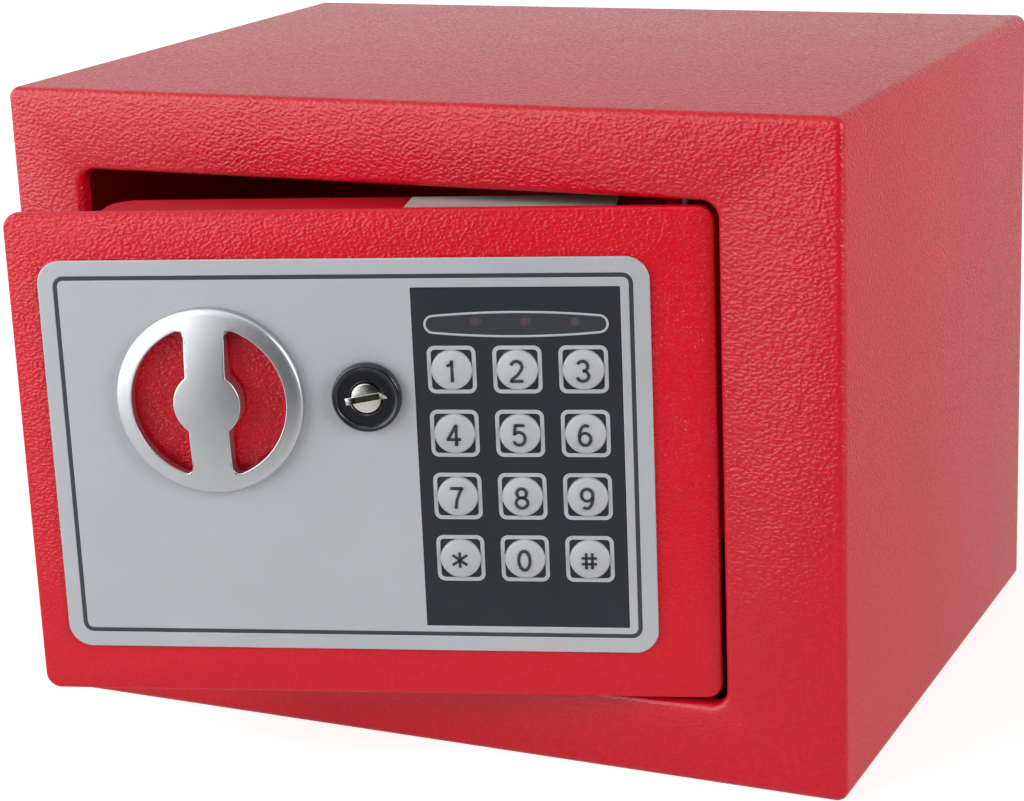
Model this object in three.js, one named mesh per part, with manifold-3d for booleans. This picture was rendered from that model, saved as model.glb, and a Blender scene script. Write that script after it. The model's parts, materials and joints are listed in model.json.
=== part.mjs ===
// Mini electronic safe, millimetres, +Z up.
// The origin is the centre of the body's base, the door faces -Y and its hinge is on the +X side.
// The door's pieces are drawn in the closed place, then the door group is turned about its hinge.

import * as THREE from 'three';
import { mergeVertices } from 'three/addons/utils/BufferGeometryUtils.js';
import Module from 'manifold-3d';

const wasm = await Module();
wasm.setup();

// Clearances
const SEAT_GAP = 0.3; // between pieces that rest on each other
const RUN_GAP = 0.3; // round a shaft or pin
const OVERCUT = 2; // how far a cutter runs past the face it leaves

// Body
const BODY_W = 230;
const BODY_D = 170;
const BODY_H = 170;
const SHEET = 2;
const BODY_CORNER_R = 3;
const FOLD_R = 1.8;
const OPENING_LEFT = 20.7; // width of the front frame on the lock side
const OPENING_RIGHT = 31.1; // width of the front frame on the hinge side
const OPENING_TOP = 21.2; // height of the front frame above and below the opening
const OPENING_R = 4.2;
const RETURN_DEPTH = 4.7; // how far the frame is folded inwards
const ANCHOR_R = 4.5;
const ANCHOR_SPACING = 130;
const MAT_T = 1.5;
const MAT_MARGIN = 2;
const MAT_R = 4;

// Door
const DOOR_AJAR_DEG = 16.8;
const DOOR_T = 3;
const DOOR_R = 4;
const DOOR_EDGE_R = 0.8;
const GAP_LATCH = 1.1;
const GAP_HINGE = 2.5;
const GAP_TOP = 1.3;
const HINGE_INSET = 6.5; // from the door's hinge edge to the pin
const PIN_R = 1.5;
const PIN_HEAD_R = 2.4;
const PIN_HEAD_T = 1.5;
const PIN_ENGAGE = 9; // how far a pin reaches into the door
const BLOCK_W = 10;
const BLOCK_H = 11;
const BRACKET_W = 16;
const BRACKET_D = 11;
const BRACKET_T = 3;

// Inner cover of the door
const HOUSING_CLEAR = 2.2; // battery box to the cover's back wall
const HOUSING_RIGHT = 13.4; // from the door's hinge edge
const HOUSING_MARGIN = 2.5; // from the door's top and bottom edges
const HOUSING_R = 7;
const HOUSING_T = 1.2;
const PILLAR_R = 3.2;
const PILLAR_INSET_LOCK = 15.4; // from the inner cover's lock side
const PILLAR_INSET_HINGE = 9; // from its hinge side
const PILLAR_INSET_END = 7; // from its top and bottom
const SCREW_R = 1.5;
const SCREW_HEAD_R = 3.2;
const SCREW_HEAD_T = 1.8;
const SCREW_LENGTH = 8;
const LABEL_W = 52;
const LABEL_D = 17;
const LABEL_T = 0.3;
const LABEL_X = 50.4; // from the door's hinge edge to the label's middle
const LABEL_INSET = 3; // from the cover's back edge

// Fascia
const FASCIA_LEFT = 7.9; // from the door's lock edge
const FASCIA_RIGHT = 15.5; // from the door's hinge edge
const FASCIA_H = 101;
const FASCIA_RISE = 0.3; // its middle above the door's middle
const FASCIA_T = 0.8;
const FASCIA_R = 6;
const LINE_INSET = 4;
const LINE_W = 1;
const LINE_DEPTH = 0.25;
const LINE_R = 2.6;
const STUD_R = 1.5;
const STUD_INSET_X = 12;
const STUD_INSET_Z = 8;

// Parts of the fascia's free width: beside the knob, knob to lock, lock to keypad, beside the keypad
const FREE_PARTS = [18.5, 7.05, 3.25, 7.3];

// Keypad
const PANEL_W = 50.6;
const PANEL_TOP = 7.5; // from the fascia's top edge
const PANEL_BOTTOM = 6.8; // from the fascia's bottom edge
const PANEL_T = 0.7;
const PANEL_FIT = 0.15;
const KEY_PITCH_X = 16.1;
const KEY_PITCH_Z = 16.15;
const KEY_R = 5;
const KEY_PROUD = 1.7; // key top above the panel
const KEY_BASE = 11;
const KEY_BASE_T = 0.8;
const KEY_BASE_R = 1.2;
const KEY_STEM_R = 1.5;
const KEY_STROKE = 0.5;
const KEY_ROW_TOP = 20.35; // from the panel's top edge to the first row
const WINDOW_SIDE = 2.9; // from the panel's sides to the window
const WINDOW_H = 6.3; // at its middle
const WINDOW_END_H = 4.5;
const WINDOW_TOP = 9; // from the panel's top edge to the window's middle
const LED_R = 1.5;
const LED_PITCH = 12.2;
const LED_SHIFT = 1.9; // the lamps sit right of the panel's middle
const BOARD_BESIDE_NUT = 1.4;
const BOARD_LAP = 1.9; // past the keypad's hinge side
const BOARD_TOP = 7; // past the indicator window
const BOARD_H = 83;
const BOARD_T = 1.6;
const BOARD_BACK = 1.2; // door plate's back to the board's front
const KEY_SWITCH_T = 1.6;

// Knob and bolt work
const KNOB_UP = 15.5; // from the door's middle
const KNOB_R = 23.6;
const KNOB_T = 5.4;
const KNOB_RIM_T = 2.2;
const KNOB_RING_R = 19.45; // outer radius of the finger openings
const KNOB_HUB_R = 8.45;
const KNOB_BAR_W = 10.2;
const KNOB_TIP_R = 1.8;
const KNOB_BORE_DEPTH = 3.6;
const FASCIA_KNOB_R = 20.5;
const SHAFT_R = 3;
const BUSH_R = 4.6;
const BUSH_FLANGE_R = 7;
const BUSH_FLANGE_T = 1.3;
const CRANK_R = 11;
const CRANK_T = 2.2;
const CRANK_HUB_R = 6.5;
const CRANK_BOSS_R = 3.6;
const CRANK_PIN_R = 2;
const CLIP_R = 4.8;
const CLIP_T = 0.8;
const CARRIAGE_T = 2;
const CARRIAGE_WALL = 3.6; // beside the shaft's slot
const CARRIAGE_REACH = 8; // carriage above the upper bolt and below the lower one
const CARRIAGE_SLACK = 1.9; // carriage to bolt guide when the bolts are out
const CARRIAGE_CORNER_R = 3;
const SLOT_CLEARANCE = 0.55; // takes up the sine error of the crank
const BOLT_R = 6;
const BOLT_SPACING = 74;
const BOLT_DEPTH = 9; // door plate's back to the bolt's axis
const BOLT_SETBACK = 0.8; // drawn bolt's tip inside the door's edge
const BOLT_GRIP = 16; // length of the bolt's flat on the carriage
const BOLT_CHAMFER = 1;
const RIVET_R = 2;
const GUIDE_T = 3;
const GUIDE_W = 19;
const GUIDE_FOOT = 7;

// Solenoid
const SOLENOID_CLEAR = 3; // frame to the carriage's side
const SOLENOID_FRAME_W = 12;
const SOLENOID_FRAME_T = 1.5;
const SOLENOID_HEADROOM = 1.3; // frame to the inner cover's top wall
const COIL_R = 4.7;
const PLUNGER_R = 2.5;
const PLUNGER_STROKE = 4;
const PLUNGER_COLLAR_R = 3.8;
const PLUNGER_COLLAR_T = 1.2;
const PLUNGER_NOSE = 4.9; // collar to the plunger's tip
const SPRING_LENGTH = 5.2;
const SPRING_WALL = 0.8;
const TAB_H = 7;
const NOTCH_CLEARANCE = 0.5;

// Override lock
const LOCK_UP = 16.4; // from the door's middle
const BEZEL_R = 8.65;
const BEZEL_T = 2.5;
const BEZEL_DISH = 0.6;
const BARREL_R = 6.5;
const BARREL_BACK = 7.8; // door plate's back to the barrel's end
const PLUG_R = 3.75;
const PLUG_TAIL_R = 2.5;
const KEYWAY_W = 1.3;
const KEYWAY_H = 6.2;
const KEYWAY_DEPTH = 5;
const KEYWAY_TILT_DEG = 80;
const NUT_R = 10.5;
const NUT_T = 3.6;
const CAM_R = 10.4;
const CAM_T = 2;
const CAM_HUB_R = 5;
const CAM_TIP_R = 2.5;
const CAM_REST_DEG = 210;

// Battery compartment
const CELL_R = 7.1;
const CELL_LENGTH = 50.5;
const CELL_NUB = 1.5;
const CELL_COUNT = 4;
const CELL_GAP = 0.4;
const TRAY_T = 1.2;
const TRAY_FROM_DOOR = 4.4; // door plate's back to the tray
const TRAY_RIGHT = 23.8; // from the door's hinge edge
const TRAY_BOTTOM = 13; // from the door's bottom edge
const TRAY_END_GAP = 0.5;
const COVER_LAP = 2.6;
const COVER_T = 1.3;
const COVER_R = 3;
const COVER_STROKE = 6.5; // slides to the lock side until its tongues leave the hatch's edge
const TONGUE_SLACK = 2.5;
const TONGUE_W = 10;
const TONGUE_T = 1.2;
const RIB_LENGTH = 16;
const RIB_START = 6;
const RIB_PITCH = 2.4;
const RIB_W = 1;
const LEAD_R = 0.9;
const LEAD_RUN = 8;

// Code reset button
const RESET_X = 24; // from the door's hinge edge
const RESET_UP = 89.5; // from the door's bottom edge
const RESET_R = 2.6;
const RESET_PROUD = 1.6;
const RESET_FLANGE_R = 3.6;
const RESET_FLANGE_T = 0.9;
const RESET_STROKE = 1;
const RESET_STEM_R = 1.4;
const RESET_SWITCH_W = 9;
const RESET_SWITCH_H = 10;
const RESET_SWITCH_D = 8;
const RESET_POST_W = 5;

// Places worked out from the sizes above
const frontY = -BODY_D / 2;
const openLeft = -BODY_W / 2 + OPENING_LEFT;
const openRight = BODY_W / 2 - OPENING_RIGHT;
const openW = openRight - openLeft;
const openH = BODY_H - 2 * OPENING_TOP;
const openX = (openLeft + openRight) / 2;
const openZ = BODY_H / 2;

const doorLeft = openLeft + GAP_LATCH;
const doorRight = openRight - GAP_HINGE;
const doorW = doorRight - doorLeft;
const doorH = openH - 2 * GAP_TOP;
const doorX = (doorLeft + doorRight) / 2;
const doorBottom = openZ - doorH / 2;
const doorTop = openZ + doorH / 2;
const doorBack = frontY + DOOR_T;
const pivotX = doorRight - HINGE_INSET;
const pivotY = Math.max(doorBack + RUN_GAP + PIN_R, frontY + SHEET + RUN_GAP + PIN_HEAD_R);

const housingRight = doorRight - HOUSING_RIGHT;
const housingBottom = doorBottom + HOUSING_MARGIN;
const housingTop = doorTop - HOUSING_MARGIN;

const fasciaLeft = doorLeft + FASCIA_LEFT;
const fasciaRight = doorRight - FASCIA_RIGHT;
const fasciaW = fasciaRight - fasciaLeft;
const fasciaX = (fasciaLeft + fasciaRight) / 2;
const fasciaZ = openZ + FASCIA_RISE;
const fasciaBack = frontY - SEAT_GAP;
const fasciaFront = fasciaBack - FASCIA_T;
const freeW = fasciaW - 2 * KNOB_R - 2 * BEZEL_R - PANEL_W;
const freePart = (index) => freeW * FREE_PARTS[index] / FREE_PARTS.reduce((sum, part) => sum + part);
const knobX = fasciaLeft + freePart(0) + KNOB_R;
const lockX = knobX + KNOB_R + freePart(1) + BEZEL_R;
const panelX = lockX + BEZEL_R + freePart(2) + PANEL_W / 2;
const panelH = FASCIA_H - PANEL_TOP - PANEL_BOTTOM;
const panelTop = fasciaZ + FASCIA_H / 2 - PANEL_TOP;
const panelZ = panelTop - panelH / 2;
const panelFront = fasciaBack - PANEL_T;
const windowZ = panelTop - WINDOW_TOP;
const windowW = PANEL_W - 2 * WINDOW_SIDE;
const boardFront = doorBack + BOARD_BACK;
const boardBack = boardFront + BOARD_T;

const knobZ = openZ + KNOB_UP;
const knobBack = fasciaFront - SEAT_GAP;
const bushBack = doorBack + SEAT_GAP + BUSH_FLANGE_T;
const crankFront = bushBack + SEAT_GAP;
const crankBack = crankFront + CRANK_T;
const carriageFront = crankBack + SEAT_GAP;
const carriageBack = carriageFront + CARRIAGE_T;
const boltThrow = 2 * CRANK_R * Math.sin(Math.PI / 4);
const pinRestX = knobX + CRANK_R * Math.cos(Math.PI / 4);
const pinRestZ = knobZ + CRANK_R * Math.sin(Math.PI / 4);
const carriageLeft = knobX - SHAFT_R - 2 * RUN_GAP - CARRIAGE_WALL;
const carriageRight = knobX + boltThrow + SHAFT_R + 2 * RUN_GAP + CARRIAGE_WALL;
const guideLeft = carriageLeft - boltThrow - CARRIAGE_SLACK - GUIDE_T;
const housingLeft = guideLeft - SEAT_GAP - HOUSING_T;
const boltRise = BOLT_SPACING / 2;
const boltY = doorBack + BOLT_DEPTH;
const boltTip = doorLeft + BOLT_SETBACK;

const solenoidX = carriageRight + SOLENOID_CLEAR + SOLENOID_FRAME_W / 2;
const plungerY = (carriageFront + carriageBack) / 2;
const lockZ = openZ + LOCK_UP;
const barrelBack = doorBack + BARREL_BACK;
const bezelBack = fasciaFront - SEAT_GAP;
const tabBottom = lockZ + BARREL_R + 0.8;
const tabTop = tabBottom + TAB_H;
const plungerTip = tabTop + NOTCH_CLEARANCE;
const collarBottom = plungerTip + PLUNGER_NOSE;
const springBottom = collarBottom + PLUNGER_COLLAR_T + SEAT_GAP;
const frameBottom = springBottom + SPRING_LENGTH + SEAT_GAP;
const frameTop = housingTop - HOUSING_T - SOLENOID_HEADROOM;

const trayFront = doorBack + TRAY_FROM_DOOR;
const trayW = CELL_LENGTH + 2 * (TRAY_T + TRAY_END_GAP);
const trayX = doorRight - TRAY_RIGHT - trayW / 2;
const cellPitch = 2 * CELL_R + CELL_GAP;
const trayH = CELL_COUNT * cellPitch + CELL_GAP + 2 * TRAY_T;
const trayZ = doorBottom + TRAY_BOTTOM + trayH / 2;
const cellY = trayFront + TRAY_T + SEAT_GAP + CELL_R;
const trayBack = cellY + CELL_R + 0.5;
const housingInner = trayBack + HOUSING_CLEAR;
const housingBack = housingInner + HOUSING_T;
const hatchW = trayW - 2 * COVER_LAP;
const hatchH = trayH - 2 * COVER_LAP;
const resetX = doorRight - RESET_X;
const resetZ = doorBottom + RESET_UP;

// Colours
const RED = '#cf1f35';
const SILVER = '#b9bcbf';
const BLACK = '#33363b';
const STEEL = '#8d9194';
const ZINC = '#c9ccce';

// Shape helpers

function weld(geometry) {
  const bare = geometry.clone();
  bare.deleteAttribute('normal');
  bare.deleteAttribute('uv');
  const merged = mergeVertices(bare, 1e-4);
  const source = merged.index.array;
  const kept = [];
  for (let i = 0; i < source.length; i += 3) {
    const [a, b, c] = [source[i], source[i + 1], source[i + 2]];
    if (a !== b && b !== c && c !== a) kept.push(a, b, c);
  }
  merged.setIndex(kept);
  return merged;
}

function solid(geometry) {
  const welded = weld(geometry);
  return new wasm.Manifold(new wasm.Mesh({
    numProp: 3,
    vertProperties: new Float32Array(welded.attributes.position.array),
    triVerts: new Uint32Array(welded.index.array),
  }));
}

function geometryOf(manifold) {
  const mesh = manifold.getMesh();
  const geometry = new THREE.BufferGeometry();
  geometry.setAttribute('position', new THREE.BufferAttribute(new Float32Array(mesh.vertProperties), 3));
  geometry.setIndex(new THREE.BufferAttribute(new Uint32Array(mesh.triVerts), 1));
  geometry.computeVertexNormals();
  return geometry;
}

function unite(...parts) {
  return parts.reduce((sum, part) => sum.add(part));
}

function cut(base, ...cutters) {
  return cutters.reduce((rest, cutter) => rest.subtract(cutter), base);
}

// A box from its lowest to its highest corner.
function block(x0, x1, y0, y1, z0, z1) {
  const box = new THREE.BoxGeometry(x1 - x0, y1 - y0, z1 - z0);
  box.translate((x0 + x1) / 2, (y0 + y1) / 2, (z0 + z1) / 2);
  return solid(box);
}

function rodX(radius, x0, x1, y, z, sides = 24) {
  const rod = new THREE.CylinderGeometry(radius, radius, x1 - x0, sides);
  rod.rotateZ(Math.PI / 2);
  rod.translate((x0 + x1) / 2, y, z);
  return solid(rod);
}

function rodY(radius, y0, y1, x, z, sides = 24) {
  const rod = new THREE.CylinderGeometry(radius, radius, y1 - y0, sides);
  rod.translate(x, (y0 + y1) / 2, z);
  return solid(rod);
}

function rodZ(radius, z0, z1, x, y, sides = 24) {
  const rod = new THREE.CylinderGeometry(radius, radius, z1 - z0, sides);
  rod.rotateX(Math.PI / 2);
  rod.translate(x, y, (z0 + z1) / 2);
  return solid(rod);
}

function roundedRect(w, h, r, x = 0, y = 0, Kind = THREE.Shape) {
  const shape = new Kind();
  const [x0, x1, y0, y1] = [x - w / 2, x + w / 2, y - h / 2, y + h / 2];
  shape.moveTo(x0 + r, y0);
  shape.lineTo(x1 - r, y0);
  shape.absarc(x1 - r, y0 + r, r, -Math.PI / 2, 0, false);
  shape.lineTo(x1, y1 - r);
  shape.absarc(x1 - r, y1 - r, r, 0, Math.PI / 2, false);
  shape.lineTo(x0 + r, y1);
  shape.absarc(x0 + r, y1 - r, r, Math.PI / 2, Math.PI, false);
  shape.lineTo(x0, y0 + r);
  shape.absarc(x0 + r, y0 + r, r, Math.PI, 1.5 * Math.PI, false);
  return shape;
}

// A slot with round ends, its length along x.
function slotShape(length, width, x = 0, y = 0) {
  const r = width / 2;
  const half = length / 2 - r;
  const shape = new THREE.Shape();
  shape.moveTo(x - half, y - r);
  shape.lineTo(x + half, y - r);
  shape.absarc(x + half, y, r, -Math.PI / 2, Math.PI / 2, false);
  shape.lineTo(x - half, y + r);
  shape.absarc(x - half, y, r, Math.PI / 2, 1.5 * Math.PI, false);
  return shape;
}

// The same slot, grown from its round ends to a greater width at its middle.
function barrelShape(length, width, endWidth, x, y) {
  const r = endWidth / 2;
  const half = length / 2 - r;
  const reach = width - r; // where the curve's control point makes it pass the full width
  const shape = new THREE.Shape();
  shape.moveTo(x - half, y - r);
  shape.quadraticCurveTo(x, y - reach, x + half, y - r);
  shape.absarc(x + half, y, r, -Math.PI / 2, Math.PI / 2, false);
  shape.quadraticCurveTo(x, y + reach, x - half, y + r);
  shape.absarc(x - half, y, r, Math.PI / 2, 1.5 * Math.PI, false);
  return shape;
}

// An outline in the door's plane (x, z), from y0 to y1, with an optional rounded edge.
function slab(shape, y0, y1, { edge = 0, steps = 2, curve = 4 } = {}) {
  const geometry = new THREE.ExtrudeGeometry(shape, {
    depth: y1 - y0 - 2 * edge,
    bevelEnabled: edge > 0,
    bevelSize: edge,
    bevelThickness: edge,
    bevelOffset: -edge,
    bevelSegments: steps,
    curveSegments: curve,
  });
  geometry.rotateX(Math.PI / 2);
  geometry.translate(0, y1 - edge, 0);
  return solid(geometry);
}

// An outline in plan (x, y), from z0 to z1.
function prism(shape, z0, z1, curve = 4) {
  const geometry = new THREE.ExtrudeGeometry(shape, {
    depth: z1 - z0,
    bevelEnabled: false,
    curveSegments: curve,
  });
  geometry.translate(0, 0, z0);
  return solid(geometry);
}

// A turned piece on an axis along y. The profile is radius and distance in front of y.
function turned(profile, y, x, z, sides = 32) {
  const points = profile.map(([radius, ahead]) => new THREE.Vector2(radius, ahead));
  const geometry = new THREE.LatheGeometry(points, sides);
  geometry.rotateX(Math.PI);
  geometry.translate(x, y, z);
  return solid(geometry);
}

function piece(name, shape, color, roughness, metalness = 0) {
  const material = new THREE.MeshStandardMaterial({ color, roughness, metalness });
  const mesh = new THREE.Mesh(geometryOf(shape), material);
  mesh.name = name;
  return mesh;
}

// Body

function bodyShell() {
  const outline = roundedRect(BODY_W, BODY_H, BODY_CORNER_R, 0, BODY_H / 2);
  outline.holes.push(roundedRect(openW, openH, OPENING_R, openX, openZ, THREE.Path));
  const blank = slab(outline, frontY, BODY_D / 2 + OVERCUT + FOLD_R, { edge: FOLD_R, steps: 3, curve: 4 });
  const innerR = BODY_CORNER_R - SHEET;
  const cavity = slab(
    roundedRect(BODY_W - 2 * SHEET, BODY_H - 2 * SHEET, innerR, 0, BODY_H / 2),
    frontY + SHEET, BODY_D / 2 + 2 * OVERCUT + FOLD_R, { curve: 2 });
  const returnFlange = slab(
    roundedRect(openW + 2 * SHEET, openH + 2 * SHEET, OPENING_R + SHEET, openX, openZ),
    frontY, frontY + RETURN_DEPTH);
  const behind = block(-BODY_W, BODY_W, BODY_D / 2, BODY_D, -OVERCUT, BODY_H + OVERCUT);
  const anchors = [-1, 1].map((side) => (
    rodZ(ANCHOR_R, -OVERCUT, SHEET + OVERCUT, side * ANCHOR_SPACING / 2, 0, 20)));
  const pinHoles = rodZ(PIN_R + RUN_GAP, openZ - openH / 2 - SHEET - 1, openZ + openH / 2 + SHEET + 1,
    pivotX, pivotY, 16);
  return cut(blank, cut(cavity, returnFlange), behind, ...anchors, pinHoles);
}

function backPanel() {
  const plate = slab(
    roundedRect(BODY_W - 2 * (SHEET + SEAT_GAP), BODY_H - 2 * (SHEET + SEAT_GAP),
      BODY_CORNER_R - SHEET - SEAT_GAP, 0, BODY_H / 2),
    BODY_D / 2 - SHEET, BODY_D / 2, { curve: 2 });
  const anchors = [-1, 1].map((side) => (
    rodY(ANCHOR_R, BODY_D / 2 - SHEET - OVERCUT, BODY_D / 2 + OVERCUT,
      side * ANCHOR_SPACING / 2, BODY_H / 2, 20)));
  return cut(plate, ...anchors);
}

function floorMat() {
  const front = frontY + RETURN_DEPTH + MAT_MARGIN;
  const back = BODY_D / 2 - SHEET - MAT_MARGIN;
  const width = BODY_W - 2 * (SHEET + MAT_MARGIN);
  const plan = roundedRect(width, back - front, MAT_R, 0, (front + back) / 2);
  return prism(plan, SHEET + SEAT_GAP, SHEET + SEAT_GAP + MAT_T);
}

// Upper pieces have side 1, lower ones side -1.
function hingeBracket(side) {
  const near = openZ + side * (openH / 2 + SHEET + SEAT_GAP);
  const far = near + side * BRACKET_T;
  const y0 = frontY + SHEET + SEAT_GAP;
  const plate = block(pivotX - BRACKET_W / 2, pivotX + BRACKET_W / 2, y0, y0 + BRACKET_D,
    Math.min(near, far), Math.max(near, far));
  return cut(plate, rodZ(PIN_R + RUN_GAP, Math.min(near, far) - 1, Math.max(near, far) + 1,
    pivotX, pivotY, 16));
}

function hingePin(side) {
  const seat = openZ + side * (openH / 2 + SHEET + 2 * SEAT_GAP + BRACKET_T);
  const tip = openZ + side * (doorH / 2 - SEAT_GAP - PIN_ENGAGE);
  const headEnd = seat + side * PIN_HEAD_T;
  const stem = rodZ(PIN_R, Math.min(seat, tip), Math.max(seat, tip), pivotX, pivotY, 16);
  const head = rodZ(PIN_HEAD_R, Math.min(seat, headEnd), Math.max(seat, headEnd), pivotX, pivotY, 16);
  return unite(stem, head);
}

// Door plate and inner cover

function pillarPlaces() {
  const x0 = housingLeft + PILLAR_INSET_LOCK;
  const x1 = housingRight - PILLAR_INSET_HINGE;
  const z0 = housingBottom + PILLAR_INSET_END;
  const z1 = housingTop - PILLAR_INSET_END;
  return [[x0, z0], [x1, z0], [x0, z1], [x1, z1]];
}

function studPlaces() {
  const dx = fasciaW / 2 - STUD_INSET_X;
  const dz = FASCIA_H / 2 - STUD_INSET_Z;
  return [[-dx, -dz], [dx, -dz], [-dx, dz], [dx, dz]].map(([x, z]) => [fasciaX + x, fasciaZ + z]);
}

function keyPlaces() {
  const names = ['1', '2', '3', '4', '5', '6', '7', '8', '9', 'star', '0', 'hash'];
  return names.map((label, i) => ({
    label,
    x: panelX + (i % 3 - 1) * KEY_PITCH_X,
    z: panelTop - KEY_ROW_TOP - Math.floor(i / 3) * KEY_PITCH_Z,
  }));
}

function lampPlaces() {
  return [-1, 0, 1].map((i) => panelX + LED_SHIFT + i * LED_PITCH);
}

function doorPlate() {
  const plate = slab(roundedRect(doorW, doorH, DOOR_R, doorX, openZ), frontY, doorBack,
    { edge: DOOR_EDGE_R, steps: 2, curve: 5 });
  const blocks = [-1, 1].map((side) => {
    const end = openZ + side * (doorH / 2 - SEAT_GAP);
    const start = end - side * BLOCK_H;
    return block(pivotX - BLOCK_W / 2, pivotX + BLOCK_W / 2 - 0.5, doorBack - 0.5,
      pivotY + PIN_R + RUN_GAP + 2, Math.min(start, end), Math.max(start, end));
  });
  const pillars = pillarPlaces().map(([x, z]) => (
    rodY(PILLAR_R, doorBack - 0.5, housingInner - SEAT_GAP, x, z, 16)));
  const threads = pillarPlaces().map(([x, z]) => (
    rodY(SCREW_R + RUN_GAP, housingInner - SCREW_LENGTH - 1, housingInner + OVERCUT, x, z, 12)));
  const studs = studPlaces().map(([x, z]) => (
    rodY(STUD_R + RUN_GAP, frontY - OVERCUT, doorBack + OVERCUT, x, z, 12)));
  const windowBottom = panelTop - KEY_ROW_TOP - 3 * KEY_PITCH_Z - KEY_BASE / 2 - 0.8;
  const windowTop = windowZ + WINDOW_H / 2 + 1.3;
  const cutoutHalf = KEY_PITCH_X + KEY_BASE / 2 + 0.7;
  const cutout = block(panelX - cutoutHalf, panelX + cutoutHalf, frontY - OVERCUT, doorBack + 0.1,
    windowBottom, windowTop);
  return cut(unite(plate, ...blocks, ...pillars), ...threads, ...studs, cutout,
    rodY(BUSH_R + RUN_GAP, frontY - OVERCUT, doorBack + OVERCUT, knobX, knobZ, 20),
    rodY(BARREL_R + RUN_GAP, frontY - OVERCUT, doorBack + OVERCUT, lockX, lockZ, 20),
    rodZ(PIN_R + RUN_GAP, doorBottom - OVERCUT, doorTop + OVERCUT, pivotX, pivotY, 16));
}

function doorHousing() {
  const y0 = doorBack + SEAT_GAP;
  const plan = (inset) => {
    const [x0, x1] = [housingLeft + inset, housingRight - inset];
    const [front, back] = [y0 - (inset ? OVERCUT : 0), housingBack - inset];
    const r = HOUSING_R - inset;
    const shape = new THREE.Shape();
    shape.moveTo(x0, front);
    shape.lineTo(x1, front);
    shape.lineTo(x1, back - r);
    shape.absarc(x1 - r, back - r, r, 0, Math.PI / 2, false);
    shape.lineTo(x0 + r, back);
    shape.absarc(x0 + r, back - r, r, Math.PI / 2, Math.PI, false);
    return shape;
  };
  const shell = cut(prism(plan(0), housingBottom, housingTop, 5),
    prism(plan(HOUSING_T), housingBottom + HOUSING_T, housingTop - HOUSING_T, 5));
  const boltHoles = [-1, 1].map((side) => (
    rodX(BOLT_R + 0.5, housingLeft - OVERCUT, housingLeft + HOUSING_T + 1, boltY,
      openZ + side * boltRise, 24)));
  const screwHoles = pillarPlaces().map(([x, z]) => (
    rodY(SCREW_R + RUN_GAP, housingInner - 1, housingBack + OVERCUT, x, z, 12)));
  const hatch = block(trayX - hatchW / 2, trayX + hatchW / 2, housingInner - 1, housingBack + OVERCUT,
    trayZ - hatchH / 2, trayZ + hatchH / 2);
  const resetHole = rodY(RESET_R + RUN_GAP, housingInner - 1, housingBack + OVERCUT, resetX, resetZ, 16);
  return cut(shell, ...boltHoles, ...screwHoles, hatch, resetHole);
}

function coverScrew(x, z) {
  const seat = housingBack + SEAT_GAP;
  const head = turned([[0, 0], [SCREW_HEAD_R, 0], [SCREW_HEAD_R, -0.7], [SCREW_HEAD_R * 0.6, -SCREW_HEAD_T],
    [0, -SCREW_HEAD_T]].reverse(), seat, x, z, 16);
  const shank = rodY(SCREW_R, seat - SCREW_LENGTH, seat + 0.5, x, z, 12);
  const recess = [0.45, 1.9].map((half, i, halves) => (
    block(x - half, x + half, seat + SCREW_HEAD_T - 0.9, seat + SCREW_HEAD_T + 1,
      z - halves[1 - i], z + halves[1 - i])));
  return cut(unite(head, shank), ...recess);
}

function blankLabel() {
  const x = doorRight - LABEL_X;
  const back = housingBack - LABEL_INSET;
  return prism(roundedRect(LABEL_W, LABEL_D, 1, x, back - LABEL_D / 2),
    housingTop + SEAT_GAP, housingTop + SEAT_GAP + LABEL_T, 2);
}

// Fascia and keypad

function fascia() {
  const plate = slab(roundedRect(fasciaW, FASCIA_H, FASCIA_R, fasciaX, fasciaZ), fasciaFront, fasciaBack,
    { edge: 0.2, steps: 1, curve: 6 });
  const ring = (inset) => slab(
    roundedRect(fasciaW - 2 * inset, FASCIA_H - 2 * inset, LINE_R + LINE_INSET - inset, fasciaX, fasciaZ),
    fasciaFront - OVERCUT, fasciaFront + LINE_DEPTH, { curve: 4 });
  const groove = cut(ring(LINE_INSET), ring(LINE_INSET + LINE_W));
  const opening = block(panelX - PANEL_W / 2 - PANEL_FIT, panelX + PANEL_W / 2 + PANEL_FIT,
    fasciaFront - OVERCUT, fasciaBack + OVERCUT,
    panelZ - panelH / 2 - PANEL_FIT, panelZ + panelH / 2 + PANEL_FIT);
  const studs = studPlaces().map(([x, z]) => (
    rodY(STUD_R, fasciaBack - 0.4, doorBack - SEAT_GAP, x, z, 12)));
  return cut(unite(plate, ...studs), groove, opening,
    rodY(FASCIA_KNOB_R, fasciaFront - OVERCUT, fasciaBack + OVERCUT, knobX, knobZ, 48),
    rodY(BARREL_R + RUN_GAP, fasciaFront - OVERCUT, fasciaBack + OVERCUT, lockX, lockZ, 20));
}

function keypadPanel() {
  const plate = block(panelX - PANEL_W / 2, panelX + PANEL_W / 2, panelFront, fasciaBack,
    panelZ - panelH / 2, panelZ + panelH / 2);
  const holes = keyPlaces().map(({ x, z }) => (
    rodY(KEY_R + RUN_GAP, panelFront - OVERCUT, fasciaBack + OVERCUT, x, z, 20)));
  const lampSlot = slab(barrelShape(windowW, WINDOW_H, WINDOW_END_H, panelX, windowZ),
    panelFront - OVERCUT, fasciaBack + OVERCUT, { curve: 8 });
  return cut(plate, ...holes, lampSlot);
}

function indicatorWindow() {
  const inset = 2 * PANEL_FIT;
  const shape = barrelShape(windowW - 2 * inset, WINDOW_H - 2 * inset, WINDOW_END_H - 2 * inset,
    panelX, windowZ);
  return slab(shape, panelFront - 0.1, fasciaBack, { curve: 8 });
}

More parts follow.
